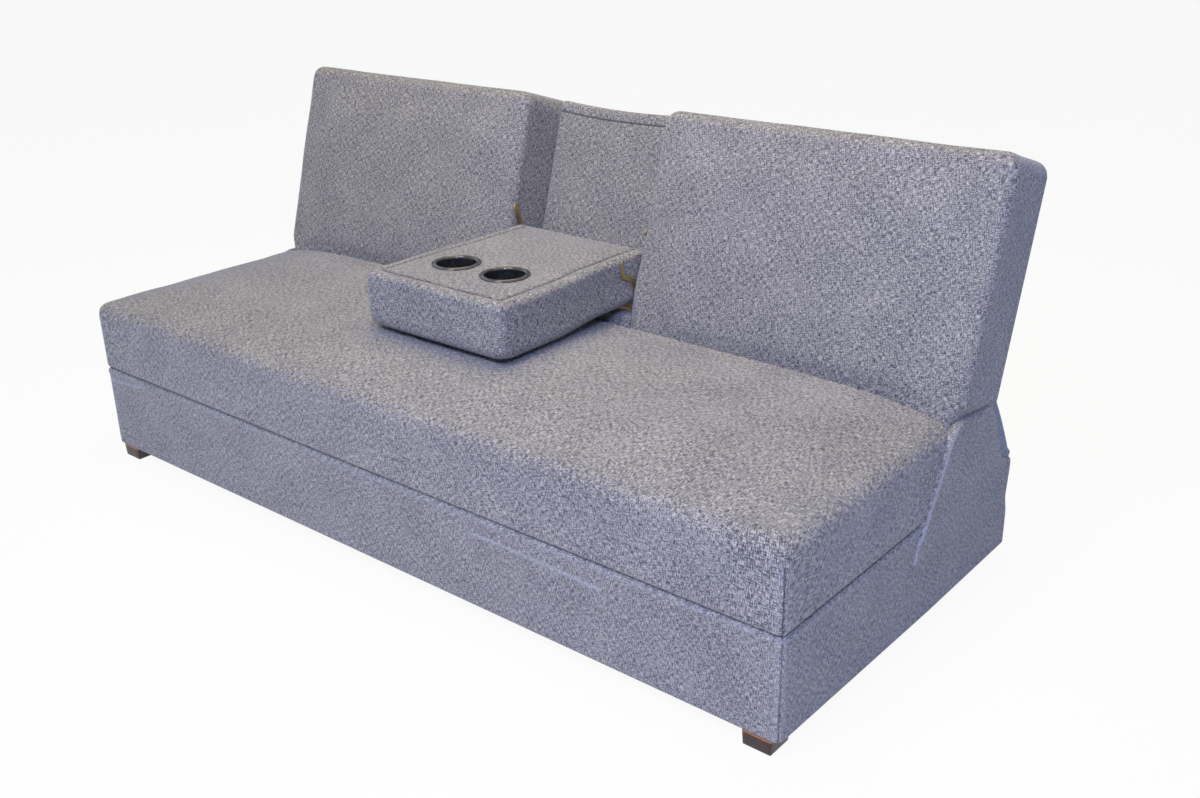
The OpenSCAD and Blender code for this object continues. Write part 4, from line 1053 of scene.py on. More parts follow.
@dataclass
class Base:
    """The box base: its padded cover and feet."""

    cloth: Material
    foot_finish: Material
    corner: float = 14.0
    lip: float = 7.0
    fuller: float = 7.0
    foot_w: float = 57.0
    foot_side: float = 16.0
    foot_front: float = 3.0
    rise_y: float = 775.0
    rise_run: float = 45.0
    bulge_drop: float = 75.0
    rear_bulge: float = 6.0
    ridge_drop: float = 6.5
    ridge_h: float = 1.5
    swell: tuple = (130, 1.2, 4.0)
    crease: tuple = (1.6, 5)
    rub: tuple = (3.2, 0.75)
    rolled: tuple = ((2.0, 0.25), (3.7, 1.0), (5.2, 2.4), (6.3, 4.2), (7.0, 6.4), (7.3, 9.0), (7.2, 12.5),
                     (7.0, 17.0))
    inner: tuple = ((-0.7, 6.0), (-0.7, 1.6), (-12.0, 1.0), (-12.0, 0.2))
    corner_lines: tuple = (0.8, 1.6, 2.6, 4.0, 6.0, 9.0, 14.0)
    rub_lines: tuple = (((-934, 0, 199), (-870, 0, 204), (-805, 0, 209)),
                        ((277, 0, 187), (350, 0, 190), (430, 0, 188), (505, 0, 186), (588, 0, 183)))

    def build(self) -> None:
        """Makes the cover and the feet."""
        self.cover()
        self.feet()

    def cover(self) -> None:
        """Models the padded cloth round the box, with a rolled upper edge and a seam at each upright corner."""
        top, low = PLAN.seam_z + 1.0, PLAN.foot_z + 0.3
        height = top - low
        rings = [Ring(out, drop, self.corner - self.lip + out + 0.5) for out, drop in self.rolled]
        drops = (*np.arange(20.0, 47.0, 3.0), *np.arange(51.0, height - 6, 9.0))
        rings += drawn_side(self.lip, drops, self.corner, 1.2, (17, height))
        rings += [Ring(self.lip - inward, height - up, self.corner - inward)
                  for inward, up in ((0, 4), (1, 1.5), (3, 0.2))]
        rings += [*(Ring(out, drop, 6.0) for out, drop in ((-0.7, height), *self.inner)), Ring(0, 0, 3.0)]
        half_w, rear = PLAN.half_w - self.lip, PLAN.depth - self.lip
        skin = Skin("base_cover", spaced(-half_w, half_w, 10, ends=self.corner_lines),
                    spaced(self.lip, rear, 10, ends=self.corner_lines), rings, hollow=True)
        x, y, z = skin.axes
        drop = skin.each("drop")
        outer = (skin.row > 0) & (skin.row < len(rings) - 6)
        z += top
        lift = PLAN.rear_rise * smooth_step((y - self.rise_y) / self.rise_run)
        z += lift * smooth_step((z - low - 60) / 100)
        skin.sew_corners(outer, 1.1)
        patchy = np.clip(0.75 + 1.1 * noise_at(x / 90, y / 90, 3.0), 0.15, 1.2)
        ridge = np.where(outer, near(drop - self.ridge_drop, 4.5), 0) * patchy
        skin.along_normal(self.ridge_h * ridge)
        # Painted highlight on the rolled ridge below the seam, where its top catches the light.
        skin.seam -= 0.3 * ridge
        under = np.clip((y - 20) / 480, 0, 1) * np.where(np.abs(x) > PLAN.half_w - 5, 1, 0)
        x += np.sign(x) * self.fuller * under * smooth_step((drop - self.bulge_drop) / 60)
        behind = np.where((y > PLAN.depth - 5) & (drop > 3), smooth_step((drop - 3) / 60), 0)
        y += self.rear_bulge * behind
        skin.ripple(*self.swell, np.where(outer & (z < top - 16) & (z > low + 10), 1.0, 0.0))
        for path in self.rub_lines:
            skin.crease(path, *self.crease)
            skin.rub(path, *self.rub)
        skin.lay_cloth(Lay.UPRIGHT)
        upholster(skin, self.cloth, "base", PLAN.in_place(), 0.5,
                  "base_cover_front", "base_cover_rear", "base_cover_left", "base_cover_right")

    def feet(self) -> None:
        """Models one square foot with softened edges and copies it to the four corners."""
        deselect()
        bpy.ops.mesh.primitive_cube_add(size=1, scale=(self.foot_w * MM, self.foot_w * MM, PLAN.foot_z * MM))
        foot = named("foot_0")
        bpy.ops.object.transform_apply(location=False, rotation=False, scale=True)
        bpy.ops.object.mode_set(mode="EDIT")
        bpy.ops.mesh.select_all(action="SELECT")
        bpy.ops.mesh.subdivide(number_cuts=3)
        bm = bmesh.from_edit_mesh(foot.data)
        for vert in bm.verts:
            taper = 1 - 0.05 * (0.5 - vert.co.z / (PLAN.foot_z * MM))
            vert.co.x *= taper
            vert.co.y *= taper
        bmesh.update_edit_mesh(foot.data)
        bpy.ops.object.mode_set(mode="OBJECT")
        modify(foot, "BEVEL", width=2.2 * MM, segments=3, limit_method="ANGLE")
        x, y = PLAN.half_w - self.foot_side - self.foot_w / 2, self.foot_front + self.foot_w / 2
        places = ((x, y), (-x, y), (x, PLAN.depth - y), (-x, PLAN.depth - y))
        for number, piece in enumerate([foot, *[copied(foot, f"foot_{number}") for number in (1, 2, 3)]]):
            x, y = places[number]
            settle(piece, Matrix.Translation((x * MM, (y - PLAN.middle_y) * MM, PLAN.foot_z * MM / 2)), 35)
            wear(piece, self.foot_finish, "base", "foot_wood", *(["feet"] if number == 0 else []))


@dataclass
class Wing:
    """A padded side plate that hides the hinge of the back."""

    side: Side
    cloth: Material
    inner_x: float = 942.3
    face_x: float = 958.0
    edge_r: float = 7.0
    tip_y: float = 436.0
    seam_y: float = 455.0
    front_y: float = 547.0
    rear_y: float = 712.0
    foot_y: float = 782.0
    height: float = 160.0
    buried: float = 122.0
    corner: float = 45.0
    fade: float = 112.0
    belly: tuple = ((0.5, 11.0), (0.9, 18.0), (1.1, 27.0), (1.2, 38.0))

    def outline(self, inset: float) -> list[tuple[float, float]]:
        """Works out the outline in depth and height.

        Args:
            inset: how far it is drawn in.

        Returns:
            Its places, of the same count for every inset.
        """
        seam, top = PLAN.seam_z, PLAN.seam_z + self.height
        rear, low = PLAN.depth - 14 - inset, seam - self.buried + inset
        corners = [((self.tip_y + inset, low), 12), ((rear, low), 0), ((rear, seam - 1 - inset), 3),
                   ((self.foot_y - inset, seam + PLAN.rear_rise - inset), self.corner),
                   ((self.rear_y - inset, top - 6 - inset), self.corner),
                   ((self.front_y + inset, top - inset), self.corner), ((self.seam_y + inset, seam), self.corner),
                   ((self.tip_y + inset, seam - 70), self.corner)]
        places: list[tuple[float, float]] = []
        for i, (b, radius) in enumerate(corners):
            if radius <= 0:
                places.append(b)
                continue
            u, w = (Vector(end[0]) - Vector(b) for end in (corners[i - 1], corners[(i + 1) % len(corners)]))
            u.normalize()
            w.normalize()
            half = math.acos(max(-1, min(1, u.dot(w)))) / 2
            centre = Vector(b) + (u + w).normalized() * radius / math.sin(half)
            p, q = (Vector(b) + leg * radius / math.tan(half) - centre for leg in (u, w))
            start = math.atan2(p.y, p.x)
            turn = (math.atan2(q.y, q.x) - start + 3 * math.pi) % (2 * math.pi) - math.pi
            angles = (start + turn * k / 8 for k in range(9))
            places += [tuple(centre + radius * Vector((math.cos(a), math.sin(a)))) for a in angles]
        return places

    def dense(self, inset: float, steps: Sequence[int]) -> np.ndarray:
        """Cuts the outline's stretches into steps.

        Args:
            inset: how far it is drawn in.
            steps: each stretch's count.

        Returns:
            The places, one row each.
        """
        line = self.outline(inset)
        return np.array([(a[0] + (b[0] - a[0]) * k / n, a[1] + (b[1] - a[1]) * k / n)
                         for (a, b), n in zip(zip(line, line[1:] + line[:1]), steps) for k in range(n)])

    def plate(self) -> Piece:
        """Draws a circle's rings over the padded edge onto the face and closes both sides.

        Returns:
            The plate.
        """
        rim = self.outline(0)
        steps = [max(1, int(math.dist(a, b) / 9)) for a, b in zip(rim, rim[1:] + rim[:1])]
        rings = [(self.inner_x, 0.0), (self.face_x - self.edge_r, 0.0)]
        for k in range(1, 7):
            angle = math.radians(15 * k)
            rings.append((self.face_x - self.edge_r * (1 - math.sin(angle)), self.edge_r * (1 - math.cos(angle))))
        rings += [(self.face_x + out, inset) for out, inset in self.belly]
        deselect()
        bpy.ops.mesh.primitive_circle_add(vertices=sum(steps), radius=1)
        piece = named(f"wing_cover_{self.side.word}")
        bpy.ops.object.mode_set(mode="EDIT")
        bm = bmesh.from_edit_mesh(piece.data)
        layer = bm.verts.layers.int.new("column")
        for i, vert in enumerate(bm.verts):
            vert[layer] = i
        for k, (x, inset) in enumerate(rings):
            if k:
                bpy.ops.mesh.extrude_region_move(TRANSFORM_OT_translate={"value": (0, 0, 0.1)})
            bm = bmesh.from_edit_mesh(piece.data)
            layer = bm.verts.layers.int["column"]
            line = self.dense(inset, steps)
            for vert in bm.verts:
                if vert.select or k == 0:
                    y, z = line[vert[layer]]
                    vert.co = (x * MM, y * MM, z * MM)
            bmesh.update_edit_mesh(piece.data)
        bpy.ops.mesh.edge_face_add()
        bpy.ops.mesh.select_all(action="DESELECT")
        select_border(bmesh.from_edit_mesh(piece.data))
        bmesh.update_edit_mesh(piece.data)
        bpy.ops.mesh.edge_face_add()
        bpy.ops.mesh.select_all(action="SELECT")
        bpy.ops.mesh.quads_convert_to_tris()
        bpy.ops.object.mode_set(mode="OBJECT")
        piece.data.attributes.remove(piece.data.attributes["column"])
        return piece

    def build(self) -> None:
        """Models the plate, sinks its lower part under the base's cover and paints a highlight along the ridge of
        its front edge.
        """
        piece = self.plate()
        co = read(piece.data.vertices, "co", 3) / MM
        x, y, z = co.T
        below = smooth_step((PLAN.seam_z - 14 - z) / self.fade)
        target = PLAN.half_w - 3.5 + 7.0 * smooth_step((y - self.tip_y) / 70)
        proud = x > PLAN.half_w - 2
        x[:] = np.where(proud, x - (x - target) * below, x)
        top = PLAN.seam_z + self.height
        front = [(self.tip_y, PLAN.seam_z - 62), (self.tip_y + 1, PLAN.seam_z - 40), (self.seam_y, PLAN.seam_z),
                 (self.front_y - 8, top - 18), (self.front_y + 12, top)]
        # Painted highlight along the padded front edge, where it catches the light.
        ridge = near(segment_distance(co[:, 1:], front)[0] - 4, 2.7)
        put_seam(piece, -1.0 * np.where((x > self.face_x - 5) | (below > 0.02), ridge, 0))
        if self.side is Side.LEFT:
            x *= -1
        put_points(piece, co)
        face_out(piece)
        lay_upright(piece)
        settle(piece, PLAN.in_place())
        wear(piece, self.cloth, "base", "upholstery", f"wing_pad_{self.side.word}")


@dataclass
class Seat:
    """The long seat cushion."""

    cloth: Material
    edge_r: float = 34.0
    edge_steps: int = 9
    side_h: float = 166.0
    depth: float = 540.979
    crown_h: float = 29.0
    rear_r: float = 12.0
    corner: float = 14.0
    voxel: float = 13.0
    swell: float = 12.0
    free_y: float = 520.0
    ripples: tuple = ((190, 2.2, 1.0), (60, 0.7, 2.0))
    corner_lines: tuple = (0.7, 1.4, 2.4, 4.0, 6.5, 10.0, 15.0)
    foot: tuple = ((0.0, 12.5), (0.8, 9.0), (2.0, 6.3), (3.8, 4.0), (6.0, 2.5), (9.5, 1.2))
    thread: tuple = (1.2, 4)
    thread_rub: tuple = (4.5, 0.7)
    lint: tuple = (((-667, 153, 420), (-680, 200, 421), (-696, 246, 421)), ((155, 194, 424), (149, 267, 425)))
    folds: tuple = ((((905, 380, 392), (870, 455, 401), (800, 520, 412)), 3.0, 16),
                    (((925, 470, 375), (890, 520, 395), (850, 540, 405)), -2.5, 12))

    def rear_at(self, z: np.ndarray) -> np.ndarray:
        """Keeps the rear face clear of the sweep of the back's lower edge.

        Args:
            z: the heights.

        Returns:
            The depth of the rear face at each.
        """
        sweep = PLAN.pivot_y - self.depth
        swept = PLAN.pivot_y - np.sqrt(sweep**2 - np.clip(z - PLAN.pivot_z, 0, sweep) ** 2)
        return np.minimum(swept, PLAN.back_y + (z - PLAN.back_z) * math.tan(math.radians(PLAN.lean)) - 1)

    def build(self) -> None:
        """Models the cushion: crowned top, wide front edge, sewn corners, creases and its swelling."""
        top = PLAN.seam_z + self.side_h
        rings = turned_edge(self.edge_r, self.edge_steps, self.corner)
        drops = np.arange(self.edge_r + 8, self.side_h - 14, 8.0)
        rings += drawn_side(self.edge_r, drops, self.corner, 2.2, (self.edge_r, self.side_h))
        rings += [Ring(self.edge_r - out, self.side_h - z, self.corner - out) for out, z in self.foot]
        rim_x, half = PLAN.half_w - self.edge_r, self.depth / 2
        skin = Skin("seat_cushion_cover", spaced(-rim_x, rim_x, 7.5, ends=self.corner_lines),
                    spaced(self.edge_r, self.depth - self.edge_r, 7.5, ends=self.corner_lines), rings)
        x, y, z = skin.axes
        z += top
        inset = self.edge_r - skin.each("out")
        t = (y - half) / np.where(y > half, (half - self.edge_r) * 2.6, half - self.edge_r)
        height = self.crown_h * crown(x / rim_x, 9) * crown(t, 2.5)
        turned = [math.cos(math.radians(90 * i / self.edge_steps)) ** 2 for i in range(self.edge_steps + 1)]
        height *= np.array([*turned, *[0.0] * (len(rings) - self.edge_steps)])[skin.row]
        z += height
        rear = self.rear_at(np.minimum(z, top)) - inset * self.rear_r / self.edge_r
        flat_rear = self.depth - inset
        y[:] = np.where(y > half, half + (y - half) * (rear - half) / (flat_rear - half), y)
        slope = (Wing.front_y - Wing.seam_y) * (z - PLAN.seam_z) / Wing.height
        wing_front = Wing.seam_y + np.where(z > PLAN.seam_z, slope, 0)
        behind = smooth_step((y - wing_front - 5) / 16)
        limit = PLAN.half_w - behind * (PLAN.half_w - PLAN.wing_x + 1.5)
        x[:] = np.sign(x) * np.minimum(np.abs(x), limit)
        free = smooth_step((z - PLAN.seam_z - 25) / 60) * smooth_step((self.free_y - y) / 60)
        skin.soften(self.voxel, self.swell, skin.rim_share(140) * free * 0.6)
        for size, swell, seed in self.ripples:
            skin.ripple(size, swell, seed, free)
        side = skin.row > self.edge_steps
        skin.sew_corners(side, 1.2)
        # Painted shade on the cushion's side just above the seam, where the base's ridge shades it.
        skin.seam += np.where(side, 0.35 * smooth_step((PLAN.seam_z + 7 - z) / 6), 0)
        for path in self.lint:
            skin.crease(path, *self.thread)
            skin.rub(path, *self.thread_rub)
        for path, fold_h, width in self.folds:
            skin.crease(path, fold_h, width)
        skin.lay_cloth()
        upholster(skin, self.cloth, "base", PLAN.in_place(), 0.8, "seat_cushion")


@dataclass
class BackCushion:
    """One of the two tall cushions of the back."""

    side: Side
    cloth: Material
    edge_r: float = 22.0
    corner: float = 30.0
    crown_h: float = 5.0
    spare: float = 9.0
    flare: float = 15.0
    squeezed: float = 0.978
    voxel: float = 8.0
    swell: float = 9.0
    waist: float = 6.0
    waist_up: float = 85.0
    ripples: tuple = ((170, 2.0, 0.0), (55, 0.6, 3.0))
    corner_lines: tuple = (1.0, 2.2, 4.0, 7.0, 11.0)
    folds: tuple = ((((900, 14, 2), (850, 30, 4), (815, 12, 3)), 1.8, 6),
                    (((217, 300, 2), (273, 420, 3)), 1.2, 14))
    notch_at: tuple = (926, -65, -105)
    notch_size: tuple = (60, 100, 130)

    def build(self) -> None:
        """Models the cushion upright on its back, dresses it and leans it."""
        rings = turned_edge(self.edge_r, 7, self.corner)
        wall = PLAN.pad_t - self.edge_r
        for drop in np.arange(self.edge_r + 6, PLAN.pad_t - 4, 6.0):
            rings.append(Ring(self.edge_r, float(drop), self.corner, 2.0 * (1 - (drop - self.edge_r) / wall)))
        rings += [Ring(self.edge_r - 0.4, PLAN.pad_t - 1.5, self.corner),
                  Ring(self.edge_r - 2, PLAN.pad_t, self.corner - 2)]
        x0, x1 = PLAN.recess_half_w + self.edge_r, PLAN.back_half_w - self.edge_r
        y0, y1 = self.edge_r - PLAN.tail_h, PLAN.face_h - self.edge_r
        skin = Skin(f"back_cushion_cover_{self.side.word}", spaced(x0, x1, 6.5, ends=self.corner_lines),
                    spaced(y0, y1, 6.5, ends=self.corner_lines), rings)
        x, y, z = skin.axes
        middle, low_mid = (x0 + x1) / 2, PLAN.face_h / 2
        height = self.crown_h * crown((x - middle) / (x1 - middle), 4) * crown((y - low_mid) / low_mid, 4)
        z += np.where(skin.row == 0, height, 0)
        depth = -z
        free = smooth_step((PLAN.pad_t - 30 - depth) / 60) * smooth_step((y + 20) / 60)
        free *= smooth_step((x - PLAN.recess_half_w - 8) / 30)
        share = smooth_step((x - middle) / (x1 - middle))
        x += share * (self.spare + self.flare * smooth_step((y + 24) / 50))
        inner = smooth_step((middle - x) / (middle - x0))
        x -= self.waist * inner * near(y - self.waist_up, 60) * smooth_step((110 - depth) / 50)
        skin.soften(self.voxel, self.swell, skin.rim_share(110) * free * 0.7)
        seed = 11.0 if self.side is Side.LEFT else 17.0
        for size, swell, shift in self.ripples:
            skin.ripple(size, swell, seed + shift, free)
        for path, fold_h, width in self.folds:
            skin.crease(path, fold_h, width)
        if self.side is Side.LEFT:
            x *= -1
        skin.lay_cloth()
        piece = skin.finish(Matrix.Identity(4))
        self.cut_notch(piece)
        settle(piece, PLAN.on_back())
        wear(piece, self.cloth, "back", "upholstery", f"back_cushion_{self.side.word}")
        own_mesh(piece)

    def cut_notch(self, piece: Piece) -> None:
        """Cuts the room for the hinge out of the cushion's lower outer end.

        Args:
            piece: the cushion, in the back's own frame.
        """
        deselect()
        x, y, z = self.notch_at
        bpy.ops.mesh.primitive_cube_add(size=1, location=(self.side.value * x * MM, y * MM, z * MM),
                                        scale=[size * MM for size in self.notch_size])
        cut_active(piece, "hinge_room")


@dataclass
class Middle:
    """What lies between and behind the two back cushions: the set-back panel, the bolster and the rear cover."""

    cloth: Material
    low: float = -76.0
    half: float = PLAN.recess_half_w - 0.3
    panel_r: float = 9.0
    seam_v: float = PLAN.face_h - 26
    bolster_r: float = 16.0
    bolster_h: float = 30.0
    sag: float = 8.0
    rear_edge: float = 8.0
    rear_seam_out: float = 20.0
    panel_swell: tuple = (90, 1.6, 23.0)
    bolster_swell: tuple = (70, 1.4, 29.0)
    rear_swell: tuple = (160, 1.8, 31.0)

    def build(self) -> None:
        """Makes the three pieces."""
        self.panel()
        self.bolster()
        self.rear_cover()

    def panel(self) -> None:
        """Models the padded panel, with a sagging upper edge and a seam below it."""
        edge, half, seam_v = self.panel_r, self.half, self.seam_v
        deep = PLAN.pad_t - PLAN.recess_d
        rings = turned_edge(edge, 5, 12.0)
        rings += [Ring(edge, float(d), 12.0) for d in (*np.arange(edge + 5, deep, 6.0), deep)]
        skin = Skin("centre_panel_cover", spaced(edge - half, half - edge, 6),
                    spaced(self.low + edge, PLAN.face_h - edge, 6,
                           extra=[seam_v + s for s in (-6, -4, -2.4, -1.2, 0, 1.2, 2.4, 4, 6)]), rings)
        x, y, z = skin.axes
        z -= PLAN.recess_d
        sag = self.sag * crown(x / half, 2) * smooth_step((y - 300) / 164)
        line = y - seam_v
        swell = crown(x / half, 3) * smooth_step((seam_v - y) / 40)
        z += np.where(skin.row == 0, 1.2 * swell * smooth_step((y + 40) / 80), 0)
        skin.ripple(*self.panel_swell, (skin.row < 4) * smooth_step((y - 30) / 60))
        skin.sew(np.where(skin.row < 3, np.abs(line), NEVER), 1.8, 2.2)
        y -= sag
        skin.lay_cloth()
        upholster(skin, self.cloth, "back", PLAN.on_back(), 0.5, "centre_panel")

    def bolster(self) -> None:
        """Models the bolster at the foot of the recess."""
        edge, half = self.bolster_r, self.half
        deep = PLAN.recess_d - 0.6
        rings = turned_edge(edge, 6, edge)
        rings += [Ring(edge, float(d), edge, 1.0) for d in np.arange(edge + 8, deep, 9.0)]
        rings += [Ring(edge, deep, edge)]
        skin = Skin("centre_bolster_cover", spaced(edge - half, half - edge, 7, ends=(2.0, 5.0)),
                    spaced(edge - PLAN.tail_h, self.bolster_h - edge, 6, ends=(2.0,)), rings)
        y, z = skin.axes[1:]
        z -= 0.3
        skin.ripple(*self.bolster_swell, smooth_step((y + 50) / 50) * (skin.row < 5) * 0.5)
        skin.lay_cloth()
        upholster(skin, self.cloth, "back", PLAN.on_back(), 0.7, "centre_bolster")

    def rear_cover(self) -> None:
        """Models the cloth over the back's rear, padded along its edges, with two upright seams."""
        half, top = PLAN.back_half_w - self.rear_edge, PLAN.face_h - self.rear_edge
        rings = [Ring(1.6, 0.4, 18.0), Ring(3.0, 1.4, 19.0), *(Ring(out, drop, 20.0) for out, drop in (
            (3.8, 3.0), (4.0, 4.6), (4.0, 5.7)))]
        seams = [s * (PLAN.recess_half_w + self.rear_seam_out) for s in (-1, 1)]
        beside = [s + n for s in seams for n in (-6, -3.6, -1.8, 0, 1.8, 3.6, 6)]
        ends = (2.0, 5.0, 9.0, 14.0)
        skin = Skin("back_rear_cover_cloth", spaced(4 - half, half - 4, 12, extra=beside, ends=ends),
                    spaced(self.low + 4, top - 4, 12, ends=ends), rings)
        x, y, z = skin.axes
        inside = crown(x / half, 12) * crown((y - 190) / 275, 8)
        from_seam = np.minimum(*[np.abs(x - s) for s in seams])
        skin.ripple(*self.rear_swell, np.where(skin.row == 0, inside, 0))
        skin.sew(np.where(skin.row == 0, from_seam, NEVER), 1.4, 2.6)
        z[:] = 0.4 - PLAN.back_t - z
        skin.lay_cloth()
        upholster(skin, self.cloth, "back", PLAN.on_back(), 0.4, "back_rear_cover")


@dataclass
class RearFlap:
    """The loose cloth that closes the gap between base and back at the rear."""

    cloth: Material
    half_w: float = 936.0
    turn_r: float = 12.0
    gusset: float = 36.0
    top_up: float = 34.0
    bow: float = 4.0
    thick: float = 1.6

    def build(self) -> None:
        """Models the sheet from a grid, lets it bow in soft folds and ties it to base and back."""
        lean, shift = math.radians(PLAN.lean), -PLAN.middle_y
        top = (PLAN.back_y + self.top_up * math.sin(lean) + (PLAN.back_t + 1) * math.cos(lean),
               PLAN.back_z + self.top_up * math.cos(lean) - (PLAN.back_t + 1) * math.sin(lean))
        low = (PLAN.depth - 5.0, PLAN.seam_z + PLAN.rear_rise - 1.0)
        deselect()
        bpy.ops.mesh.primitive_grid_add(x_subdivisions=180, y_subdivisions=24, size=2)
        piece = named("rear_flap_cloth")
        across, up = read(piece.data.vertices, "co", 3).T[:2]
        t = (up + 1) / 2
        arc = self.turn_r * math.pi / 2
        reach = self.half_w + arc + self.gusset
        run = np.sign(across) * reach * (1 - (1 - np.abs(across)) ** 1.35)
        angle = np.clip(np.abs(run) - self.half_w, 0, arc) / self.turn_r
        forward = np.clip(np.abs(run) - self.half_w - arc, 0, None)
        x = np.sign(run) * (np.minimum(np.abs(run), self.half_w) + self.turn_r * np.sin(angle) * (1 - 0.3 * t))
        ahead = (self.turn_r * (1 - np.cos(angle)) + forward) * (1 - 0.45 * t)
        y = low[0] + (top[0] - low[0]) * t - ahead
        z = low[1] + (top[1] - low[1]) * t
        length = math.dist(low, top)
        out = ((top[1] - low[1]) / length, -(top[0] - low[0]) / length)
        bow = (self.bow + 2.2 * noise_at(x / 95, 7.0, t * 0.8)) * np.sin(np.pi * t)
        put_points(piece, np.stack([x, y + bow * out[0], z + bow * out[1]], axis=1))
        loops = read(piece.data.loops, "vertex_index", kind=int)
        put_map(piece, np.stack([run, t * length], axis=1)[loops] * MM)
        modify(piece, "SOLIDIFY", thickness=self.thick * MM, offset=0)
        settle(piece, PLAN.in_place())
        wear(piece, self.cloth, None, "lining", "rear_flap")
        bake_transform(piece, "base", "back", start=(0, (low[0] + shift) * MM, low[1] * MM),
                 end=(0, (top[0] + shift) * MM, top[1] * MM))


@dataclass
class Console:
    """The fold-down console with its cup holders."""

    cloth: Material
    cup_finish: Material
    half_w: float = 184.0
    front_y: float = 197.0
    rear_y: float = 655.0
    low_z: float = 451.0
    thick: float = 106.0
    edge_r: float = 24.0
    top_r: float = 10.0
    corner: float = 16.0
    crown_h: float = 3.0
    seam_inset: float = 26.0
    cup_x: float = 69.0
    cup_y: float = 337.0
    cup_depth: float = 65.0
    cup_hole_r: float = 44.0
    seat_z: float = 560.3
    voxel: float = 6.0
    swell: float = 7.0
    ripples: tuple = ((80, 1.6, 41.0), (28, 0.5, 43.0))
    clear_of_cup: float = 54.0
    seam_d: float = 3.0
    seam_lines: tuple = (-6.0, -3.6, -2.2, -1.1, 0.0, 1.1, 2.2, 3.6, 6.0)
    corner_lines: tuple = (1.0, 2.4, 4.5)
    foot_corner: float = 26.0
    overhang: float = 4.0
    full_y: float = 520.0
    full_w: float = 195.0
    sag_below: float = 14.0
    cup_profile: tuple = (
        (0.0, -63.0), (34.0, -63.0), (37.6, -62.2), (40.2, -59.8), (41.0, -56.5), (41.0, -3.0), (41.4, 0.4),
        (42.6, 2.6), (44.2, 3.4), (45.6, 2.9), (46.4, 1.9), (48.0, 1.5), (50.0, 2.2), (51.6, 2.0), (52.5, 0.9),
        (52.3, 0.1), (44.6, 0.0), (43.0, -1.5), (43.0, -57.0), (41.8, -62.0), (38.5, -64.8), (34.0, -65.0),
        (0.0, -65.0))

    def build(self) -> None:
        """Makes the pad and the cup holders."""
        self.pad()
        self.cups()

    def ahead(self, y: np.ndarray) -> np.ndarray:
        """Share of the fuller front at each depth."""
        return smooth_step((self.full_y - y) / 170)

    def pad(self) -> None:
        """Models the padded body: tight upper edges, wide lower ones, a seam round the top and mitred corners."""
        rim, wall = self.top_r, self.thick - self.edge_r
        rings = turned_edge(rim, 5, self.corner)
        rings += drawn_side(rim, np.arange(rim + 5, wall, 5.0), self.corner, 2.4, (rim, wall))
        for i in range(0, 9):
            angle = math.radians(90 * i / 8)
            inward = 1 - math.cos(angle)
            rings.append(Ring(rim - self.edge_r * inward, wall + self.edge_r * math.sin(angle),
                              self.corner + self.foot_corner * inward))
        x1 = self.half_w - rim
        y0, y1 = self.front_y + rim, self.rear_y - rim
        line = self.seam_inset - rim
        ends = (*(line + n for n in self.seam_lines), *self.corner_lines)
        skin = Skin("console_pad_cover", spaced(-x1, x1, 4.5, ends=ends), spaced(y0, y1, 4.5, ends=ends), rings)
        x, y, z = skin.axes
        middle = (y0 + y1) / 2
        height = self.crown_h * crown(x / x1, 6) * crown((y - middle) / (y1 - middle), 6)
        ahead, spare = self.ahead(y), self.full_w / self.half_w - 1
        x *= 1 + spare * ahead
        y -= self.overhang * smooth_step((self.front_y + 60 - y) / 60)
        z *= 1 + np.where(skin.row == 0, 0, (self.sag_below / self.thick) * (0.55 + 0.45 * ahead))
        z += np.where(skin.row == 0, height, 0) + self.low_z + self.thick
        free = smooth_step((z - self.low_z - 4) / 30) * smooth_step((620 - y) / 40)
        from_cup = np.minimum(*[np.hypot(x - at, y - self.cup_y) for at in (self.cup_x, -self.cup_x)])
        free *= smooth_step((from_cup - self.clear_of_cup) / 30)
        inner = smooth_step((self.half_w - 1 - np.abs(x)) / 12)
        free *= np.where(skin.row > 5, inner * 0.6 + 0.4, 1.0)
        skin.soften(self.voxel, self.swell, skin.rim_share(60) * free * 0.4)
        for size, swell, seed in self.ripples:
            skin.ripple(size, swell, seed, free)
        wide = 1 + spare * self.ahead(y)
        inset = np.minimum(self.half_w - np.abs(x) / wide, y - self.front_y + 3)
        on_top = (skin.row == 0) & (y < self.rear_y - 14)
        skin.sew(np.where(on_top, np.abs(inset - self.seam_inset), NEVER), self.seam_d, 4.4)
        # Painted highlight beside the seam, on the lit side of its fold.
        skin.seam -= np.where(on_top, 0.8 * near(inset - self.seam_inset + 6.6, 2.4), 0)
        outer = (skin.row == 0) & (inset < self.seam_inset)
        skin.along_normal(np.where(outer, 1.0 * np.sin(np.pi * np.clip(inset / self.seam_inset, 0, 1)), 0))
        self.pucker(skin)
        skin.sew(np.where(skin.row > 5, skin.corner_run(), NEVER), 0.6, 1.6, 0.3)
        skin.lay_cloth()
        piece = skin.finish(Matrix.Identity(4))
        self.cut_holes(piece)
        settle(piece, PLAN.in_place(), 50)
        wear(piece, self.cloth, "console", "upholstery", "console_pad")
        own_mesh(piece)

    def pucker(self, skin: Skin) -> None:
        """Sews the mitre at each front corner of the top and raises a pucker on both its sides.

        Args:
            skin: the pad's skin.
        """
        for side in Side:
            end = (side.value * (self.half_w - 4), self.front_y + 4, 552)
            mitre = [(side.value * (self.half_w - 26), self.front_y + 26, 558), end]
            skin.sew(segment_distance(skin.co, mitre)[0], 1.6, 2.4, 0.7)
            for offset in (9, -9):
                start = (side.value * (self.half_w - 22 - max(0, offset)),
                         self.front_y + 22 + max(0, -offset), 558)
                skin.crease([start, end], 1.3, 3.5)

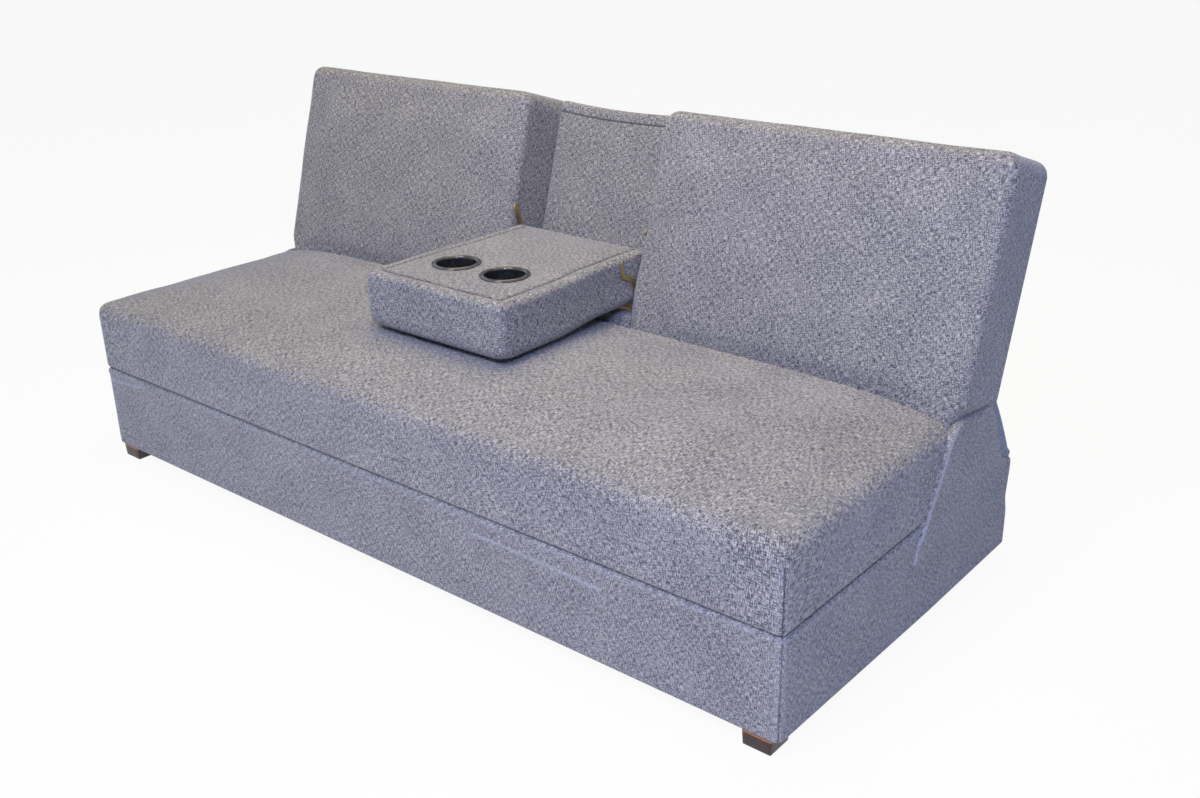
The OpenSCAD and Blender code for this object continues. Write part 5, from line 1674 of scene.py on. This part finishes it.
    def cut_holes(self, piece: Piece) -> None:
        """Cuts the two cup wells.

        Args:
            piece: the pad, with depths counted from the base's front.
        """
        for side in Side:
            deselect()
            place = (side.value * self.cup_x * MM, self.cup_y * MM, (self.seat_z - self.cup_depth + 40) * MM)
            bpy.ops.mesh.primitive_cylinder_add(vertices=96, radius=self.cup_hole_r * MM, depth=0.08,
                                                location=place)
            cut_active(piece, "cup_well")

    def cups(self) -> None:
        """Turns one cup holder with a rolled rim and copies it to the other place."""
        deselect()
        bpy.ops.mesh.primitive_circle_add(vertices=len(self.cup_profile), radius=1)
        source = named("cup_right")
        bpy.ops.object.mode_set(mode="EDIT")
        bm = bmesh.from_edit_mesh(source.data)
        bm.verts.ensure_lookup_table()
        for vert, (r, z) in zip(list(bm.verts), self.cup_profile):
            vert.co = (r * MM, 0, z * MM)
        joined = bm.edges.get((bm.verts[0], bm.verts[len(self.cup_profile) - 1]))
        bmesh.ops.delete(bm, geom=[joined], context="EDGES_FACES")
        bmesh.update_edit_mesh(source.data)
        bpy.ops.mesh.select_all(action="SELECT")
        bpy.ops.mesh.spin(steps=96, angle=2 * math.pi, center=(0, 0, 0), axis=(0, 0, 1))
        bpy.ops.object.mode_set(mode="OBJECT")
        for side, piece in ((Side.RIGHT, source), (Side.LEFT, copied(source, "cup_left"))):
            face_out(piece)
            place = Matrix.Translation((side.value * self.cup_x * MM, self.cup_y * MM, self.seat_z * MM))
            settle(piece, PLAN.in_place() @ place, 35)
            wear(piece, self.cup_finish, "console", "cup_plastic", f"cup_holder_{side.word}")


@dataclass
class Studio:
    """Camera, floor, background and lamps."""

    eye: tuple = (1.80532, -1.434580 - 0.429665, 1.330290)
    azimuth: float = 40.1226
    elevation: float = 22.9095
    roll: float = -1.2452
    lens: float = 38.46
    floor: tuple = (0.9, 0.9, 0.9, 1)
    fill_light: tuple = (0.62, 0.78, 1.0, 1)
    fill_strength: float = 0.14
    floor_white: float = 0.93
    lamp_rows: tuple = (
        ("lamp_above", (0.1, 0.2, 3.2), (0, 0.1, 0.3), 2.6, 57, (1.0, 0.80, 0.31)),
        ("lamp_camera", (2.1, -2.4, 2.8), (0.1, 0, 0.3), 0.9, 78, (0.50, 0.57, 1.0)),
        ("lamp_low", (2.0, -2.3, 1.1), (0.2, 0, 0.4), 0.7, 3, (0.70, 0.78, 1.0)),
        ("lamp_front", (0.3, -2.4, 3.3), (0.2, 0.2, 0.5), 1.6, 52, (0.98, 0.98, 1.0)))

    def build(self) -> None:
        """Sets up the view and the light."""
        self.camera()
        self.ground()
        self.surroundings()
        self.lamps()

    def camera(self) -> None:
        """Places the camera where the photograph was taken from."""
        a, e, r = (math.radians(v) for v in (self.azimuth, self.elevation, self.roll))
        back = Vector((math.sin(a) * math.cos(e), -math.cos(a) * math.cos(e), math.sin(e)))
        level = (-back).cross(Vector((0, 0, 1))).normalized()
        upright = level.cross(-back)
        right = math.cos(r) * level + math.sin(r) * upright
        up = -math.sin(r) * level + math.cos(r) * upright
        data = bpy.data.cameras.new("camera")
        data.sensor_width, data.lens = 36.0, self.lens
        data.clip_start, data.clip_end = 0.05, 60
        camera = bpy.data.objects.new("camera", data)
        bpy.context.scene.collection.objects.link(camera)
        camera.matrix_world = Matrix((*zip(right, up, back, self.eye), (0, 0, 0, 1)))
        bpy.context.scene.camera = camera

    def ground(self) -> None:
        """Makes the pale floor, which looks white to the camera and keeps the sofa's shadow."""
        deselect()
        bpy.ops.mesh.primitive_plane_add(size=40)
        floor = named("floor")
        material, tool, shader = Finish("pale_floor").start()
        tool.wire(shader, {"Base Color": self.floor, "Roughness": 0.9})
        glow = tool.out("Emission", {"Color": (1, 1, 1, 1), "Strength": 1.0})
        share = tool.math("MULTIPLY", tool.seen(), self.floor_white)
        mixed = tool.out("MixShader", {0: share, 1: shader.outputs[0], 2: glow})
        tool.wire(tool.tree.nodes["Material Output"], {"Surface": mixed})
        floor.data.materials.append(material)

    def surroundings(self) -> None:
        """Makes the world white to the camera and a weak cool light to the sofa."""
        world = bpy.data.worlds.new("surroundings")
        bpy.context.scene.world = world
        world.use_nodes = True
        tool = Nodes(world.node_tree)
        plain = tool.tree.nodes["Background"]
        tool.wire(plain, {"Color": self.fill_light, "Strength": self.fill_strength})
        white = tool.out("Background", {"Color": (1, 1, 1, 1), "Strength": 1.0})
        mixed = tool.out("MixShader", {0: tool.seen(), 1: plain.outputs[0], 2: white})
        tool.wire(tool.tree.nodes["World Output"], {"Surface": mixed})

    def lamps(self) -> None:
        """Hangs soft lamps: a warm one above, cool ones high and low beside the camera, and one high in front."""
        for name, place, aim, size, power, colour in self.lamp_rows:
            data = bpy.data.lights.new(name, "AREA")
            data.shape, data.size = "DISK", size
            data.energy, data.color = power, colour
            lamp = bpy.data.objects.new(name, data)
            bpy.context.scene.collection.objects.link(lamp)
            lamp.location = place
            lamp.rotation_mode = "QUATERNION"
            lamp.rotation_quaternion = (Vector(aim) - Vector(place)).to_track_quat("-Z", "Y")


def main() -> None:
    """Builds the sofa's looks in order and reports each piece."""
    logging.basicConfig(level=logging.INFO, format="%(message)s")
    for name in ("Cube", "Camera", "Light"):
        if name in bpy.data.objects:
            bpy.data.objects.remove(bpy.data.objects[name])
    bpy.context.scene.view_settings.view_transform = "Standard"
    wardrobe = Wardrobe()
    wardrobe.dress_nodes()
    Studio().build()
    Base(wardrobe.cloth, wardrobe.foot).build()
    for side in Side:
        Wing(side, wardrobe.cloth).build()
    Seat(wardrobe.seat).build()
    for side in Side:
        BackCushion(side, wardrobe.cloth).build()
    Middle(wardrobe.cloth).build()
    RearFlap(wardrobe.lining).build()
    Console(wardrobe.cloth, wardrobe.cup).build()


if __name__ == "__main__":
    main()
